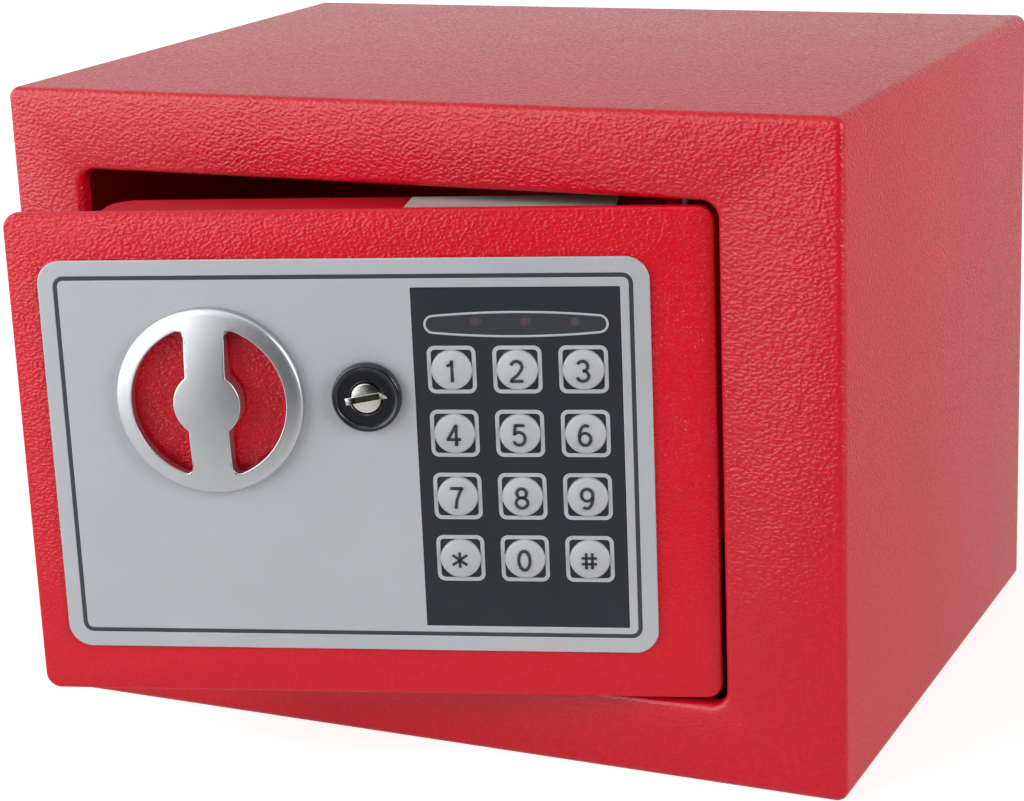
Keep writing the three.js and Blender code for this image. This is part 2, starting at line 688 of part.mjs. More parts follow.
function statusLamp(x) {
  const back = boardFront - SEAT_GAP;
  const reach = back - fasciaBack - 1;
  return turned([[0, 0], [LED_R, 0], [LED_R, reach - LED_R], [LED_R * 0.7, reach - LED_R * 0.3], [0, reach]],
    back, x, windowZ, 12);
}

function keyCap(x, z) {
  const baseBack = fasciaBack + SEAT_GAP + KEY_BASE_T;
  const rim = baseBack - (panelFront - 0.4 * KEY_PROUD);
  const top = baseBack - (panelFront - KEY_PROUD);
  const cap = turned([[0, 0.1], [KEY_R, 0.1], [KEY_R, rim], [KEY_R * 0.88, rim + 0.55 * (top - rim)],
    [KEY_R * 0.5, top - 0.08], [0, top]], baseBack, x, z, 20);
  const base = slab(roundedRect(KEY_BASE, KEY_BASE, KEY_BASE_R, x, z), baseBack - KEY_BASE_T, baseBack,
    { curve: 1 });
  const stem = rodY(KEY_STEM_R, baseBack - 0.2, keyStemEnd(), x, z, 8);
  return unite(cap, base, stem);
}

function keyStemEnd() {
  return boardFront - KEY_SWITCH_T - KEY_STROKE - SEAT_GAP;
}

function circuitBoard() {
  const x0 = lockX + NUT_R + BOARD_BESIDE_NUT;
  const x1 = panelX + PANEL_W / 2 + BOARD_LAP;
  const z1 = windowZ + WINDOW_H / 2 + BOARD_TOP;
  const z0 = z1 - BOARD_H;
  const plate = block(x0, x1, boardFront, boardBack, z0, z1);
  const switches = keyPlaces().map(({ x, z }) => unite(
    block(x - 2.6, x + 2.6, boardFront - KEY_SWITCH_T + 0.5, boardFront + 0.2, z - 2.6, z + 2.6),
    rodY(1.4, boardFront - KEY_SWITCH_T, boardFront, x, z, 8)));
  const feet = [[x0 + 6, z0 + 3], [x1 - 6, z0 + 3], [x0 + 6, z1 - 3], [x1 - 6, z1 - 3]].map(([x, z]) => (
    rodY(1.8, doorBack + SEAT_GAP, boardFront + 0.2, x, z, 10)));
  const chip = block(panelX + 4, panelX + 16, boardBack - 0.2, boardBack + 1.8, z1 - 24, z1 - 14);
  const socket = block(panelX - 8, panelX, boardBack - 0.2, boardBack + 3, leadTop(), leadTop() + 5);
  return unite(plate, ...switches, ...feet, chip, socket);
}

function leadTop() {
  return trayZ + trayH / 2 + LEAD_RUN;
}

// Knob and bolt work

function crescent(side) {
  const bar = KNOB_BAR_W / 2;
  const tipR = KNOB_RING_R - KNOB_TIP_R;
  const tipX = bar + KNOB_TIP_R;
  const tipZ = Math.sqrt(tipR * tipR - tipX * tipX);
  const tipAngle = Math.atan2(tipZ, tipX);
  const hubZ = Math.sqrt(KNOB_HUB_R * KNOB_HUB_R - bar * bar);
  const hubAngle = Math.atan2(hubZ, bar);
  const shape = new THREE.Shape();
  shape.moveTo(bar, hubZ);
  shape.lineTo(bar, tipZ);
  shape.absarc(tipX, tipZ, KNOB_TIP_R, Math.PI, tipAngle, true);
  shape.absarc(0, 0, KNOB_RING_R, tipAngle, -tipAngle, true);
  shape.absarc(tipX, -tipZ, KNOB_TIP_R, -tipAngle, -Math.PI, true);
  shape.lineTo(bar, -hubZ);
  shape.absarc(0, 0, KNOB_HUB_R, -hubAngle, hubAngle, false);
  const geometry = new THREE.ExtrudeGeometry(shape, {
    depth: 3 * KNOB_T,
    bevelEnabled: false,
    curveSegments: 10,
  });
  geometry.rotateX(Math.PI / 2);
  if (side < 0) geometry.rotateY(Math.PI);
  geometry.translate(knobX, knobBack + KNOB_T, knobZ);
  return solid(geometry);
}

function knob() {
  const domeR = (KNOB_R * KNOB_R + (KNOB_T - KNOB_RIM_T) ** 2) / (2 * (KNOB_T - KNOB_RIM_T));
  const height = (r) => KNOB_T - domeR + Math.sqrt(domeR * domeR - r * r);
  const radii = [KNOB_R - 0.4, KNOB_RING_R, 15, 10, 5];
  const profile = [[0, 0], [KNOB_R - 0.3, 0], [KNOB_R, 0.3], [KNOB_R, KNOB_RIM_T - 0.3],
    ...radii.map((r) => [r, height(r)]), [0, KNOB_T]];
  const disc = turned(profile, knobBack, knobX, knobZ, 64);
  const bore = rodY(SHAFT_R + RUN_GAP, knobBack - KNOB_BORE_DEPTH, knobBack + OVERCUT, knobX, knobZ, 20);
  return cut(disc, crescent(1), crescent(-1), bore);
}

function knobShaft() {
  const clipFront = carriageBack + SEAT_GAP;
  return unite(
    rodY(SHAFT_R, knobBack - KNOB_BORE_DEPTH + SEAT_GAP, clipFront + CLIP_T + 0.6, knobX, knobZ, 20),
    rodY(CLIP_R, clipFront, clipFront + CLIP_T, knobX, knobZ, 20));
}

function knobBush() {
  const front = frontY - 0.9;
  return cut(unite(
    rodY(BUSH_R, front, bushBack, knobX, knobZ, 20),
    rodY(BUSH_FLANGE_R, doorBack + SEAT_GAP, bushBack, knobX, knobZ, 24)),
  rodY(SHAFT_R + RUN_GAP, front - OVERCUT, bushBack + OVERCUT, knobX, knobZ, 20));
}

function driveCrank() {
  const arm = slab(slotShape(CRANK_R, 2 * CRANK_BOSS_R * 0.9, CRANK_R / 2, 0), 0, CRANK_T)
    .rotate([0, -45, 0]).translate([knobX, crankFront, knobZ]);
  return cut(unite(
    rodY(CRANK_HUB_R, crankFront, crankBack, knobX, knobZ, 24),
    arm,
    rodY(CRANK_BOSS_R, crankFront, crankBack, pinRestX, pinRestZ, 20),
    rodY(CRANK_PIN_R, crankBack - 0.5, carriageBack + 0.5, pinRestX, pinRestZ, 16)),
  rodY(SHAFT_R + RUN_GAP, crankFront - OVERCUT, crankBack + OVERCUT, knobX, knobZ, 20));
}

function boltCarriage() {
  const width = carriageRight - carriageLeft;
  const middle = (carriageLeft + carriageRight) / 2;
  const plate = slab(
    roundedRect(width, 2 * (boltRise + CARRIAGE_REACH), CARRIAGE_CORNER_R, middle, openZ),
    carriageFront, carriageBack, { curve: 3 });
  const notchHalf = PLUNGER_R + NOTCH_CLEARANCE;
  const tabEnd = solenoidX + boltThrow + notchHalf + 3;
  const tab = block(carriageRight - CARRIAGE_WALL, tabEnd, carriageFront, carriageBack, tabBottom, tabTop);
  const notches = [solenoidX, solenoidX + boltThrow].map((x) => (
    block(x - notchHalf, x + notchHalf, carriageFront - 1, carriageBack + 1,
      tabTop - PLUNGER_STROKE - 0.6, tabTop + 1)));
  const window = 2 * (SHAFT_R + RUN_GAP);
  const shaftSlot = slab(slotShape(boltThrow + window + 0.6, window, knobX + boltThrow / 2, knobZ),
    carriageFront - 1, carriageBack + 1, { curve: 6 });
  const pinHalf = CRANK_PIN_R + SLOT_CLEARANCE;
  const pinSlot = block(knobX + boltThrow / 2 - pinHalf, knobX + boltThrow / 2 + pinHalf,
    carriageFront - 1, carriageBack + 1, pinRestZ - pinHalf, knobZ + CRANK_R + pinHalf);
  const rivets = [-1, 1].map((side) => (
    rodY(RIVET_R + RUN_GAP, carriageFront - 1, carriageBack + 1, boltEnd() - BOLT_GRIP / 2,
      openZ + side * boltRise, 12)));
  return cut(unite(plate, tab), ...notches, shaftSlot, pinSlot, ...rivets);
}

function boltEnd() {
  return carriageLeft + BOLT_GRIP;
}

function bolt(side) {
  const z = openZ + side * boltRise;
  const end = boltEnd();
  const flatFrom = carriageLeft - 0.6;
  const length = end - boltTip;
  const profile = [[0, 0], [BOLT_R - BOLT_CHAMFER, 0], [BOLT_R, BOLT_CHAMFER], [BOLT_R, length], [0, length]];
  const rodGeometry = new THREE.LatheGeometry(profile.map(([r, along]) => new THREE.Vector2(r, along)), 24);
  rodGeometry.rotateZ(-Math.PI / 2);
  rodGeometry.translate(boltTip, boltY, z);
  const flat = block(flatFrom, end + OVERCUT, boltY - BOLT_R - OVERCUT, carriageBack + SEAT_GAP,
    z - BOLT_R - 1, z + BOLT_R + 1);
  const rivet = rodY(RIVET_R, carriageFront - 0.2, boltY, end - BOLT_GRIP / 2, z, 12);
  return unite(cut(solid(rodGeometry), flat), rivet);
}

function boltGuide(side) {
  const z = openZ + side * boltRise;
  const x0 = guideLeft;
  const y0 = doorBack + SEAT_GAP;
  const ear = block(x0, x0 + GUIDE_T, y0, boltY + BOLT_R + 2.5, z - GUIDE_W / 2, z + GUIDE_W / 2);
  const foot = block(x0, x0 + GUIDE_T + GUIDE_FOOT, y0, y0 + 1.5, z - GUIDE_W / 2, z + GUIDE_W / 2);
  return cut(unite(ear, foot), rodX(BOLT_R + 0.4, x0 - 1, x0 + GUIDE_T + 1, boltY, z, 24));
}

// Solenoid

function solenoidFrame() {
  const half = SOLENOID_FRAME_W / 2;
  const y0 = doorBack + SEAT_GAP;
  const y1 = plungerY + COIL_R + SEAT_GAP;
  const spine = block(solenoidX - half, solenoidX + half, y1, y1 + SOLENOID_FRAME_T, frameBottom, frameTop);
  const plates = [frameBottom, frameTop - SOLENOID_FRAME_T].map((z) => cut(
    block(solenoidX - half, solenoidX + half, y0, y1 + 0.5, z, z + SOLENOID_FRAME_T),
    rodZ(PLUNGER_R + RUN_GAP, z - 1, z + SOLENOID_FRAME_T + 1, solenoidX, plungerY, 20)));
  return unite(spine, ...plates);
}

function solenoidCoil() {
  const z0 = frameBottom + SOLENOID_FRAME_T + SEAT_GAP;
  const z1 = frameTop - SOLENOID_FRAME_T - SEAT_GAP;
  return cut(rodZ(COIL_R, z0, z1, solenoidX, plungerY, 20),
    rodZ(PLUNGER_R + RUN_GAP, z0 - 1, z1 + 1, solenoidX, plungerY, 20));
}

function plungerSpring() {
  const inner = PLUNGER_R + RUN_GAP;
  return cut(rodZ(inner + SPRING_WALL, springBottom, springBottom + SPRING_LENGTH, solenoidX, plungerY, 16),
    rodZ(inner, springBottom - 1, springBottom + SPRING_LENGTH + 1, solenoidX, plungerY, 16));
}

function solenoidPlunger() {
  return unite(
    rodZ(PLUNGER_R, plungerTip, frameTop - SOLENOID_FRAME_T - 1, solenoidX, plungerY, 20),
    rodZ(PLUNGER_COLLAR_R, collarBottom, collarBottom + PLUNGER_COLLAR_T, solenoidX, plungerY, 20));
}

// Override lock

function lockBezel() {
  const hole = PLUG_R + 0.4;
  return turned([[hole, 0], [BEZEL_R, 0], [BEZEL_R, BEZEL_T - 0.6], [BEZEL_R - 0.7, BEZEL_T],
    [BEZEL_R - 2, BEZEL_T], [BEZEL_R - 2.6, BEZEL_T - BEZEL_DISH], [hole, BEZEL_T - BEZEL_DISH], [hole, 0]],
  bezelBack, lockX, lockZ, 32);
}

function lockBarrel() {
  return cut(rodY(BARREL_R, fasciaFront, barrelBack, lockX, lockZ, 24),
    rodY(PLUG_R + RUN_GAP, fasciaFront - OVERCUT, barrelBack + OVERCUT, lockX, lockZ, 24));
}

function lockNut() {
  const front = doorBack + SEAT_GAP;
  return cut(rodY(NUT_R, front, front + NUT_T, lockX, lockZ, 6),
    rodY(BARREL_R + RUN_GAP, front - 1, front + NUT_T + 1, lockX, lockZ, 24));
}

function lockPlug() {
  const front = bezelBack - BEZEL_T + BEZEL_DISH - 0.3;
  const tail = barrelBack + 0.4 + SEAT_GAP + CAM_T + 0.6;
  const keyway = solid(new THREE.BoxGeometry(KEYWAY_W, 2 * KEYWAY_DEPTH, KEYWAY_H))
    .rotate([0, KEYWAY_TILT_DEG, 0]).translate([lockX, front, lockZ]);
  return cut(unite(
    rodY(PLUG_R, front, barrelBack + 0.1, lockX, lockZ, 24),
    rodY(PLUG_TAIL_R, barrelBack - 0.5, tail, lockX, lockZ, 16)), keyway);
}

function lockCam() {
  const front = barrelBack + 0.4;
  const angle = CAM_REST_DEG * Math.PI / 180;
  const tipX = lockX + CAM_R * Math.cos(angle);
  const tipZ = lockZ + CAM_R * Math.sin(angle);
  const arm = slab(slotShape(CAM_R + CAM_TIP_R, 2 * CAM_TIP_R, (CAM_R + CAM_TIP_R) / 2, 0), 0, CAM_T)
    .rotate([0, -CAM_REST_DEG, 0]).translate([lockX, front, lockZ]);
  return cut(unite(
    rodY(CAM_HUB_R, front, front + CAM_T, lockX, lockZ, 24),
    rodY(CAM_TIP_R, front, front + CAM_T, tipX, tipZ, 16),
    arm), rodY(PLUG_TAIL_R + RUN_GAP, front - 1, front + CAM_T + 1, lockX, lockZ, 16));
}

// Battery compartment

function batteryBox() {
  const outer = block(trayX - trayW / 2, trayX + trayW / 2, trayFront, trayBack,
    trayZ - trayH / 2, trayZ + trayH / 2);
  const inner = block(trayX - trayW / 2 + TRAY_T, trayX + trayW / 2 - TRAY_T, trayFront + TRAY_T,
    trayBack + OVERCUT, trayZ - trayH / 2 + TRAY_T, trayZ + trayH / 2 - TRAY_T);
  return cut(outer, inner);
}

function batteryCell(index) {
  const z = trayZ - trayH / 2 + TRAY_T + CELL_GAP + CELL_R + index * cellPitch;
  const facing = index % 2 === 0 ? 1 : -1;
  const body = CELL_LENGTH - CELL_NUB;
  const profile = [[0, 0], [CELL_R - 0.5, 0], [CELL_R, 0.5], [CELL_R, body - 0.5], [CELL_R - 0.5, body],
    [2.7, body], [2.7, CELL_LENGTH], [0, CELL_LENGTH]];
  const geometry = new THREE.LatheGeometry(profile.map(([r, along]) => new THREE.Vector2(r, along)), 20);
  geometry.translate(0, -CELL_LENGTH / 2, 0);
  geometry.rotateZ(-facing * Math.PI / 2);
  geometry.translate(trayX, cellY, z);
  return solid(geometry);
}

function batteryLead() {
  const from = new THREE.Vector3(panelX - 4, cellY, trayZ + trayH / 2 + SEAT_GAP);
  const toY = boardBack + 1.4;
  const points = [
    from,
    new THREE.Vector3(from.x, from.y - 1, from.z + 0.4 * LEAD_RUN),
    new THREE.Vector3(from.x, toY + 1.5, from.z + 0.62 * LEAD_RUN),
    new THREE.Vector3(from.x, toY, leadTop() - 2 * SEAT_GAP),
  ];
  const section = new THREE.Shape();
  section.absarc(0, 0, LEAD_R, 0, 2 * Math.PI, false);
  const geometry = new THREE.ExtrudeGeometry(section, {
    steps: 12, bevelEnabled: false, curveSegments: 8, extrudePath: new THREE.CatmullRomCurve3(points),
  });
  return solid(geometry);
}

function batteryCover() {
  const y0 = housingBack + SEAT_GAP;
  const w = hatchW + 2 * COVER_LAP;
  const h = hatchH + 2 * COVER_LAP;
  const plate = slab(roundedRect(w, h, COVER_R, trayX, trayZ), y0, y0 + COVER_T,
    { edge: 0.4, steps: 1, curve: 3 });
  const inner = housingInner - SEAT_GAP;
  const stemRight = trayX + hatchW / 2 - 0.5;
  const stemLeft = stemRight - TONGUE_T;
  const reach = COVER_STROKE - TONGUE_SLACK;
  const tongues = [-1, 1].map((side) => {
    const z0 = trayZ + side * hatchH / 4 - TONGUE_W / 2;
    const z1 = z0 + TONGUE_W;
    return unite(
      block(stemLeft, stemRight, inner - TONGUE_T, y0 + 0.5, z0, z1),
      block(stemLeft, stemRight + reach, inner - TONGUE_T, inner, z0, z1));
  });
  const ribs = [0, 1, 2, 3].map((i) => {
    const x0 = trayX - w / 2 + RIB_START + RIB_PITCH * i;
    return block(x0, x0 + RIB_W, y0 + COVER_T - 0.2, y0 + COVER_T + 0.5,
      trayZ - RIB_LENGTH / 2, trayZ + RIB_LENGTH / 2);
  });
  return unite(plate, ...tongues, ...ribs);
}

// Code reset button

function resetButton() {
  const flangeBack = housingInner - SEAT_GAP;
  return unite(
    rodY(RESET_R, flangeBack - 0.2, housingBack + RESET_PROUD, resetX, resetZ, 20),
    rodY(RESET_FLANGE_R, flangeBack - RESET_FLANGE_T, flangeBack, resetX, resetZ, 20),
    rodY(RESET_STEM_R, flangeBack - RESET_FLANGE_T - 3, flangeBack - 0.2, resetX, resetZ, 12));
}

function resetSwitch() {
  const back = housingInner - 2 * SEAT_GAP - RESET_FLANGE_T - RESET_STROKE;
  const [halfW, halfH, halfPost] = [RESET_SWITCH_W / 2, RESET_SWITCH_H / 2, RESET_POST_W / 2];
  const front = back - RESET_SWITCH_D;
  const body = block(resetX - halfW, resetX + halfW, front, back, resetZ - halfH, resetZ + halfH);
  const post = block(resetX - halfPost, resetX + halfPost, boardBack + SEAT_GAP, front + 0.5,
    resetZ - halfPost, resetZ + halfPost);
  return cut(unite(body, post), rodY(RESET_STEM_R + RUN_GAP, back - 5, back + OVERCUT, resetX, resetZ, 12));
}

// Assembly

const safe = new THREE.Group();
safe.add(
  piece('body_shell', bodyShell(), RED, 0.5),
  piece('back_panel', backPanel(), RED, 0.5),
  piece('floor_mat', floorMat(), '#2c2c2e', 0.95),
  piece('hinge_bracket_upper', hingeBracket(1), RED, 0.5),
  piece('hinge_bracket_lower', hingeBracket(-1), RED, 0.5),
  piece('hinge_pin_upper', hingePin(1), STEEL, 0.35, 1),
  piece('hinge_pin_lower', hingePin(-1), STEEL, 0.35, 1),
);

const doorHinge = new THREE.Group();
doorHinge.position.set(pivotX, pivotY, 0);
doorHinge.rotation.z = THREE.MathUtils.degToRad(DOOR_AJAR_DEG);
safe.add(doorHinge);

const door = new THREE.Group();
door.position.set(-pivotX, -pivotY, 0);
doorHinge.add(door);
door.add(
  piece('door_plate', doorPlate(), RED, 0.5),
  piece('door_housing', doorHousing(), RED, 0.45),
  piece('blank_label', blankLabel(), '#e9e6e6', 0.6),
  piece('fascia', fascia(), SILVER, 0.42, 0.2),
  piece('keypad_panel', keypadPanel(), BLACK, 0.5),
  piece('indicator_window', indicatorWindow(), '#3b3f45', 0.2),
  piece('circuit_board', circuitBoard(), '#1d6b3a', 0.6),
  piece('knob', knob(), SILVER, 0.3, 1),
  piece('knob_shaft', knobShaft(), STEEL, 0.35, 1),
  piece('knob_bush', knobBush(), '#b5975a', 0.4, 1),
  piece('drive_crank', driveCrank(), ZINC, 0.4, 1),
  piece('bolt_carriage', boltCarriage(), ZINC, 0.4, 1),
  piece('solenoid_frame', solenoidFrame(), ZINC, 0.4, 1),
  piece('solenoid_coil', solenoidCoil(), '#b06a35', 0.5),
  piece('plunger_spring', plungerSpring(), STEEL, 0.3, 1),
  piece('solenoid_plunger', solenoidPlunger(), STEEL, 0.3, 1),
  piece('lock_bezel', lockBezel(), '#16171a', 0.2),
  piece('lock_barrel', lockBarrel(), ZINC, 0.35, 1),
  piece('lock_nut', lockNut(), ZINC, 0.35, 1),
  piece('lock_plug', lockPlug(), '#d8dadc', 0.15, 1),
  piece('lock_cam', lockCam(), ZINC, 0.35, 1),
  piece('battery_box', batteryBox(), '#26282b', 0.6),
  piece('battery_lead', batteryLead(), '#9c1c1c', 0.5),
  piece('battery_cover', batteryCover(), '#26282b', 0.55),
  piece('reset_button', resetButton(), '#b3151f', 0.4),
  piece('reset_switch', resetSwitch(), '#26282b', 0.6),
);

for (const [name, side] of [['upper', 1], ['lower', -1]]) {
  door.add(
    piece(`bolt_${name}`, bolt(side), '#c4c7ca', 0.2, 1),
    piece(`bolt_guide_${name}`, boltGuide(side), ZINC, 0.4, 1),
  );
}
pillarPlaces().forEach(([x, z], i) => {
  door.add(piece(`cover_screw_${i + 1}`, coverScrew(x, z), '#b9bcbf', 0.3, 1));
});
for (const { label, x, z } of keyPlaces()) {
  door.add(piece(`key_${label}`, keyCap(x, z), '#c3c6ca', 0.45));
}
lampPlaces().forEach((x, i) => {
  door.add(piece(`status_lamp_${i + 1}`, statusLamp(x), '#c04a50', 0.3));
});
for (let i = 0; i < CELL_COUNT; i += 1) {
  door.add(piece(`battery_${i + 1}`, batteryCell(i), '#5b5e62', 0.4, 0.3));
}

export default safe;
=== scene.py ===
import json
from math import atan2, cos, degrees, pi, radians, sin

import bpy
from mathutils import Matrix, Vector


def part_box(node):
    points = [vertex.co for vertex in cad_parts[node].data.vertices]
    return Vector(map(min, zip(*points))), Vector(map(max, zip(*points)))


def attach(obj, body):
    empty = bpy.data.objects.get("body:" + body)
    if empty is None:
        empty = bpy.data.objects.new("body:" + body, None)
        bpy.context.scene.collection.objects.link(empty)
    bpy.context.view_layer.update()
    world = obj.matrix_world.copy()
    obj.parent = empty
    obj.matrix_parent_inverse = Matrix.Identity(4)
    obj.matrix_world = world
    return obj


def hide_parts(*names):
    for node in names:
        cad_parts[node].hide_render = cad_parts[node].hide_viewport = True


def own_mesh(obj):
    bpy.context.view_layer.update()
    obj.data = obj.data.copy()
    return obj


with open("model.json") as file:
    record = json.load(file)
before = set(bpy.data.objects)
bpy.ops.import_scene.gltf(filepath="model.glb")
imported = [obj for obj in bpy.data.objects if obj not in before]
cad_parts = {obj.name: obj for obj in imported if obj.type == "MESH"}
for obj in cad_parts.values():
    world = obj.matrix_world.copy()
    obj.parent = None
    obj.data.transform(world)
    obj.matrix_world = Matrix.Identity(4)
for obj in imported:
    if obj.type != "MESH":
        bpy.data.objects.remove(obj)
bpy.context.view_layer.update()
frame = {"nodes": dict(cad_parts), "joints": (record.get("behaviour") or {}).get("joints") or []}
print("frame loaded,", len(frame["nodes"]), "pieces")


# The door hangs open on its pins, so what sits on it is made as if it were shut and then swung.
swing = next(j for j in frame["joints"] if j["name"] == "door_swing")
pivot = Vector((swing["pos_m"][0], swing["pos_m"][1], 0))
doorTurn = (Matrix.Translation(pivot) @ Matrix.Rotation(radians(-swing["range_deg"][0]), 4, "Z")
            @ Matrix.Translation(-pivot))
doorBack = doorTurn.inverted()


def shutBox(node):  # lowest and highest corner of a node, as if the door were shut
    spots = [doorBack @ v.co for v in frame["nodes"][node].data.vertices]
    return (Vector([min(s[i] for s in spots) for i in range(3)]),
            Vector([max(s[i] for s in spots) for i in range(3)]))


def seatOf(low, high):  # the middle of a node's back
    return ((low.x + high.x) / 2, high.y, (low.z + high.z) / 2)


# Modelling helpers

def fresh():  # object mode with nothing selected, before a new primitive
    if bpy.context.object and bpy.context.object.mode != "OBJECT":
        bpy.ops.object.mode_set(mode="OBJECT")
    bpy.ops.object.select_all(action="DESELECT")


def take(piece):  # selects one object only
    fresh()
    piece.select_set(True)
    bpy.context.view_layer.objects.active = piece


def openMesh(piece):  # edit mode with everything selected
    take(piece)
    bpy.ops.object.mode_set(mode="EDIT")
    bpy.ops.mesh.select_all(action="SELECT")


def drawOut(depth):  # extrudes the open mesh away from the front
    bpy.ops.mesh.select_all(action="SELECT")
    bpy.ops.mesh.extrude_region_move(TRANSFORM_OT_translate={"value": (0, depth, 0)})


def closeMesh():  # turns the faces outwards and leaves edit mode
    bpy.ops.mesh.select_all(action="SELECT")
    bpy.ops.mesh.normals_make_consistent(inside=False)
    bpy.ops.object.mode_set(mode="OBJECT")


def finishWith(piece, kind, **settings):  # adds a modifier and applies it
    take(piece)
    modifier = piece.modifiers.new(kind.lower(), kind)
    for name, value in settings.items():
        setattr(modifier, name, value)
    bpy.ops.object.modifier_apply(modifier=modifier.name)


def trim(piece, cutter, operation="DIFFERENCE"):  # a boolean with another object, which goes away
    finishWith(piece, "BOOLEAN", object=cutter, operation=operation, solver="EXACT")
    bpy.data.objects.remove(cutter, do_unlink=True)


def settle(piece, onDoor=True):  # puts the place in the mesh, swung with the door
    take(piece)
    if onDoor:
        piece.matrix_world = doorTurn @ piece.matrix_world
    bpy.ops.object.transform_apply(location=True, rotation=True, scale=True)


def smoothed(piece, limit):
    take(piece)
    bpy.ops.object.shade_smooth_by_angle(angle=radians(limit))


def joined(pieces, name):  # one object out of several
    fresh()
    for piece in pieces:
        piece.select_set(True)
    bpy.context.view_layer.objects.active = pieces[0]
    bpy.ops.object.join()
    pieces[0].name = pieces[0].data.name = name
    return pieces[0]


def dress(piece, material):  # one material all over
    piece.data.materials.clear()
    piece.data.materials.append(material)


# Node helpers. What feeds a socket is a plain value or the output of another node.

def addNode(tree, kind, feeds=None, **settings):
    node = tree.nodes.new(kind)
    for name, value in settings.items():
        setattr(node, name, value)
    for socket, value in (feeds or {}).items():
        if isinstance(value, bpy.types.NodeSocket):
            tree.links.new(value, node.inputs[socket])
        else:
            node.inputs[socket].default_value = value
    return node


def link(tree, value, node, socket):
    tree.links.new(value, node.inputs[socket])


def maths(tree, operation, *values):
    return addNode(tree, "ShaderNodeMath", dict(enumerate(values)), operation=operation).outputs["Value"]


def vectorMaths(tree, operation, *values):
    node = addNode(tree, "ShaderNodeVectorMath", dict(enumerate(values)), operation=operation)
    return node.outputs["Vector"]


def ranged(tree, value, start, end, low=0.0, high=1.0, ease="LINEAR"):  # from one range to another
    feeds = {"Value": value, "From Min": start, "From Max": end, "To Min": low, "To Max": high}
    return addNode(tree, "ShaderNodeMapRange", feeds, interpolation_type=ease).outputs["Result"]


def mixedValue(tree, share, first, second):
    feeds = {"Factor": share, "A": first, "B": second}
    return addNode(tree, "ShaderNodeMix", feeds, data_type="FLOAT").outputs["Result"]


def mixedColour(tree, share, first, second, blend="MIX"):
    feeds = {"Factor": share, "A": first, "B": second}
    return addNode(tree, "ShaderNodeMix", feeds, data_type="RGBA", blend_type=blend).outputs["Result"]


def mixedShader(tree, share, first, second):
    return addNode(tree, "ShaderNodeMixShader", {0: share, 1: first, 2: second}).outputs[0]


def axesOf(tree, vector):
    return addNode(tree, "ShaderNodeSeparateXYZ", {"Vector": vector}).outputs


def noise(tree, vector, **values):
    return addNode(tree, "ShaderNodeTexNoise", {"Vector": vector, **values}).outputs["Fac"]


def inSizes(tree, vector, size):  # a place counted in steps of one size
    feeds = {"Vector": vector, "Scale": maths(tree, "DIVIDE", 1.0, size)}
    return addNode(tree, "ShaderNodeVectorMath", feeds, operation="SCALE").outputs["Vector"]


def newGroup(name, inputs, outputs):
    tree = bpy.data.node_groups.new(name, "ShaderNodeTree")
    for kind, label, value in inputs:
        socket = tree.interface.new_socket(label, in_out="INPUT", socket_type="NodeSocket" + kind)
        if value is not None:
            socket.default_value = value
    for label in outputs:
        tree.interface.new_socket(label, in_out="OUTPUT", socket_type="NodeSocketFloat")
    return tree, addNode(tree, "NodeGroupInput").outputs, addNode(tree, "NodeGroupOutput")


def useGroup(tree, group, feeds):
    return addNode(tree, "ShaderNodeGroup", feeds, node_tree=group).outputs


def newMaterial(name):  # with the shader and the place on the piece
    material = bpy.data.materials.new(name)
    material.use_nodes = True
    tree = material.node_tree
    tree.nodes.clear()
    shader = addNode(tree, "ShaderNodeBsdfPrincipled")
    addNode(tree, "ShaderNodeOutputMaterial", {"Surface": shader.outputs["BSDF"]})
    return material, tree, shader, addNode(tree, "ShaderNodeTexCoord").outputs["Object"]


def srgb(red, green, blue):  # a colour as a paint chart gives it, 0 to 255
    return tuple(((c / 255 + 0.055) / 1.055) ** 2.4 if c > 10 else c / 255 / 12.92
                 for c in (red, green, blue)) + (1,)


# Shared effects

grainLook = {"fineDetail": 3, "cloudDetail": 4, "roughness": 0.55, "from": 0.3, "to": 0.7}


def buildFineGrain(look):  # cloudy tone, fine speckle and a height for any plain finish
    tree, source, result = newGroup(
        "fineGrain",
        [("Vector", "Vector", None), ("Float", "Grain Size", 0.0006), ("Float", "Cloud Size", 0.03)],
        ["Tone", "Speckle", "Height"])
    for size, detail, output in (("Grain Size", "fineDetail", "Speckle"),
                                 ("Cloud Size", "cloudDetail", "Tone")):
        clouds = noise(tree, inSizes(tree, source["Vector"], source[size]), Scale=1.0, Detail=look[detail],
                       Roughness=look["roughness"])
        link(tree, ranged(tree, clouds, look["from"], look["to"]), result, output)
        if output == "Speckle":
            link(tree, clouds, result, "Height")
    return tree


edgeHighlightLook = {"turnedFrom": 0.995, "turnedTo": 0.86, "patchFrom": 0.42, "patchTo": 0.62, "nearTo": 0.9}


def buildEdgeHighlightMask(look):  # 1 along sharp edges, in patches, where a lighter colour paints a highlight; 0 on flat ground
    tree, source, result = newGroup(
        "edgeHighlightMask",
        [("Vector", "Vector", None), ("Float", "Radius", 0.0006), ("Float", "Patch Size", 0.006)],
        ["Highlight", "Near Edge"])
    rounded = addNode(tree, "ShaderNodeBevel", {"Radius": source["Radius"]}, samples=4)
    geometry = addNode(tree, "ShaderNodeNewGeometry")
    likeness = addNode(tree, "ShaderNodeVectorMath",
                       {0: rounded.outputs["Normal"], 1: geometry.outputs["Normal"]},
                       operation="DOT_PRODUCT").outputs["Value"]
    turned = ranged(tree, likeness, look["turnedFrom"], look["turnedTo"])
    patches = noise(tree, inSizes(tree, source["Vector"], source["Patch Size"]), Scale=1.0, Detail=3.0)
    broken = ranged(tree, patches, look["patchFrom"], look["patchTo"])
    link(tree, maths(tree, "MULTIPLY", turned, broken), result, "Highlight")
    link(tree, ranged(tree, likeness, 1.0, look["nearTo"]), result, "Near Edge")
    return tree


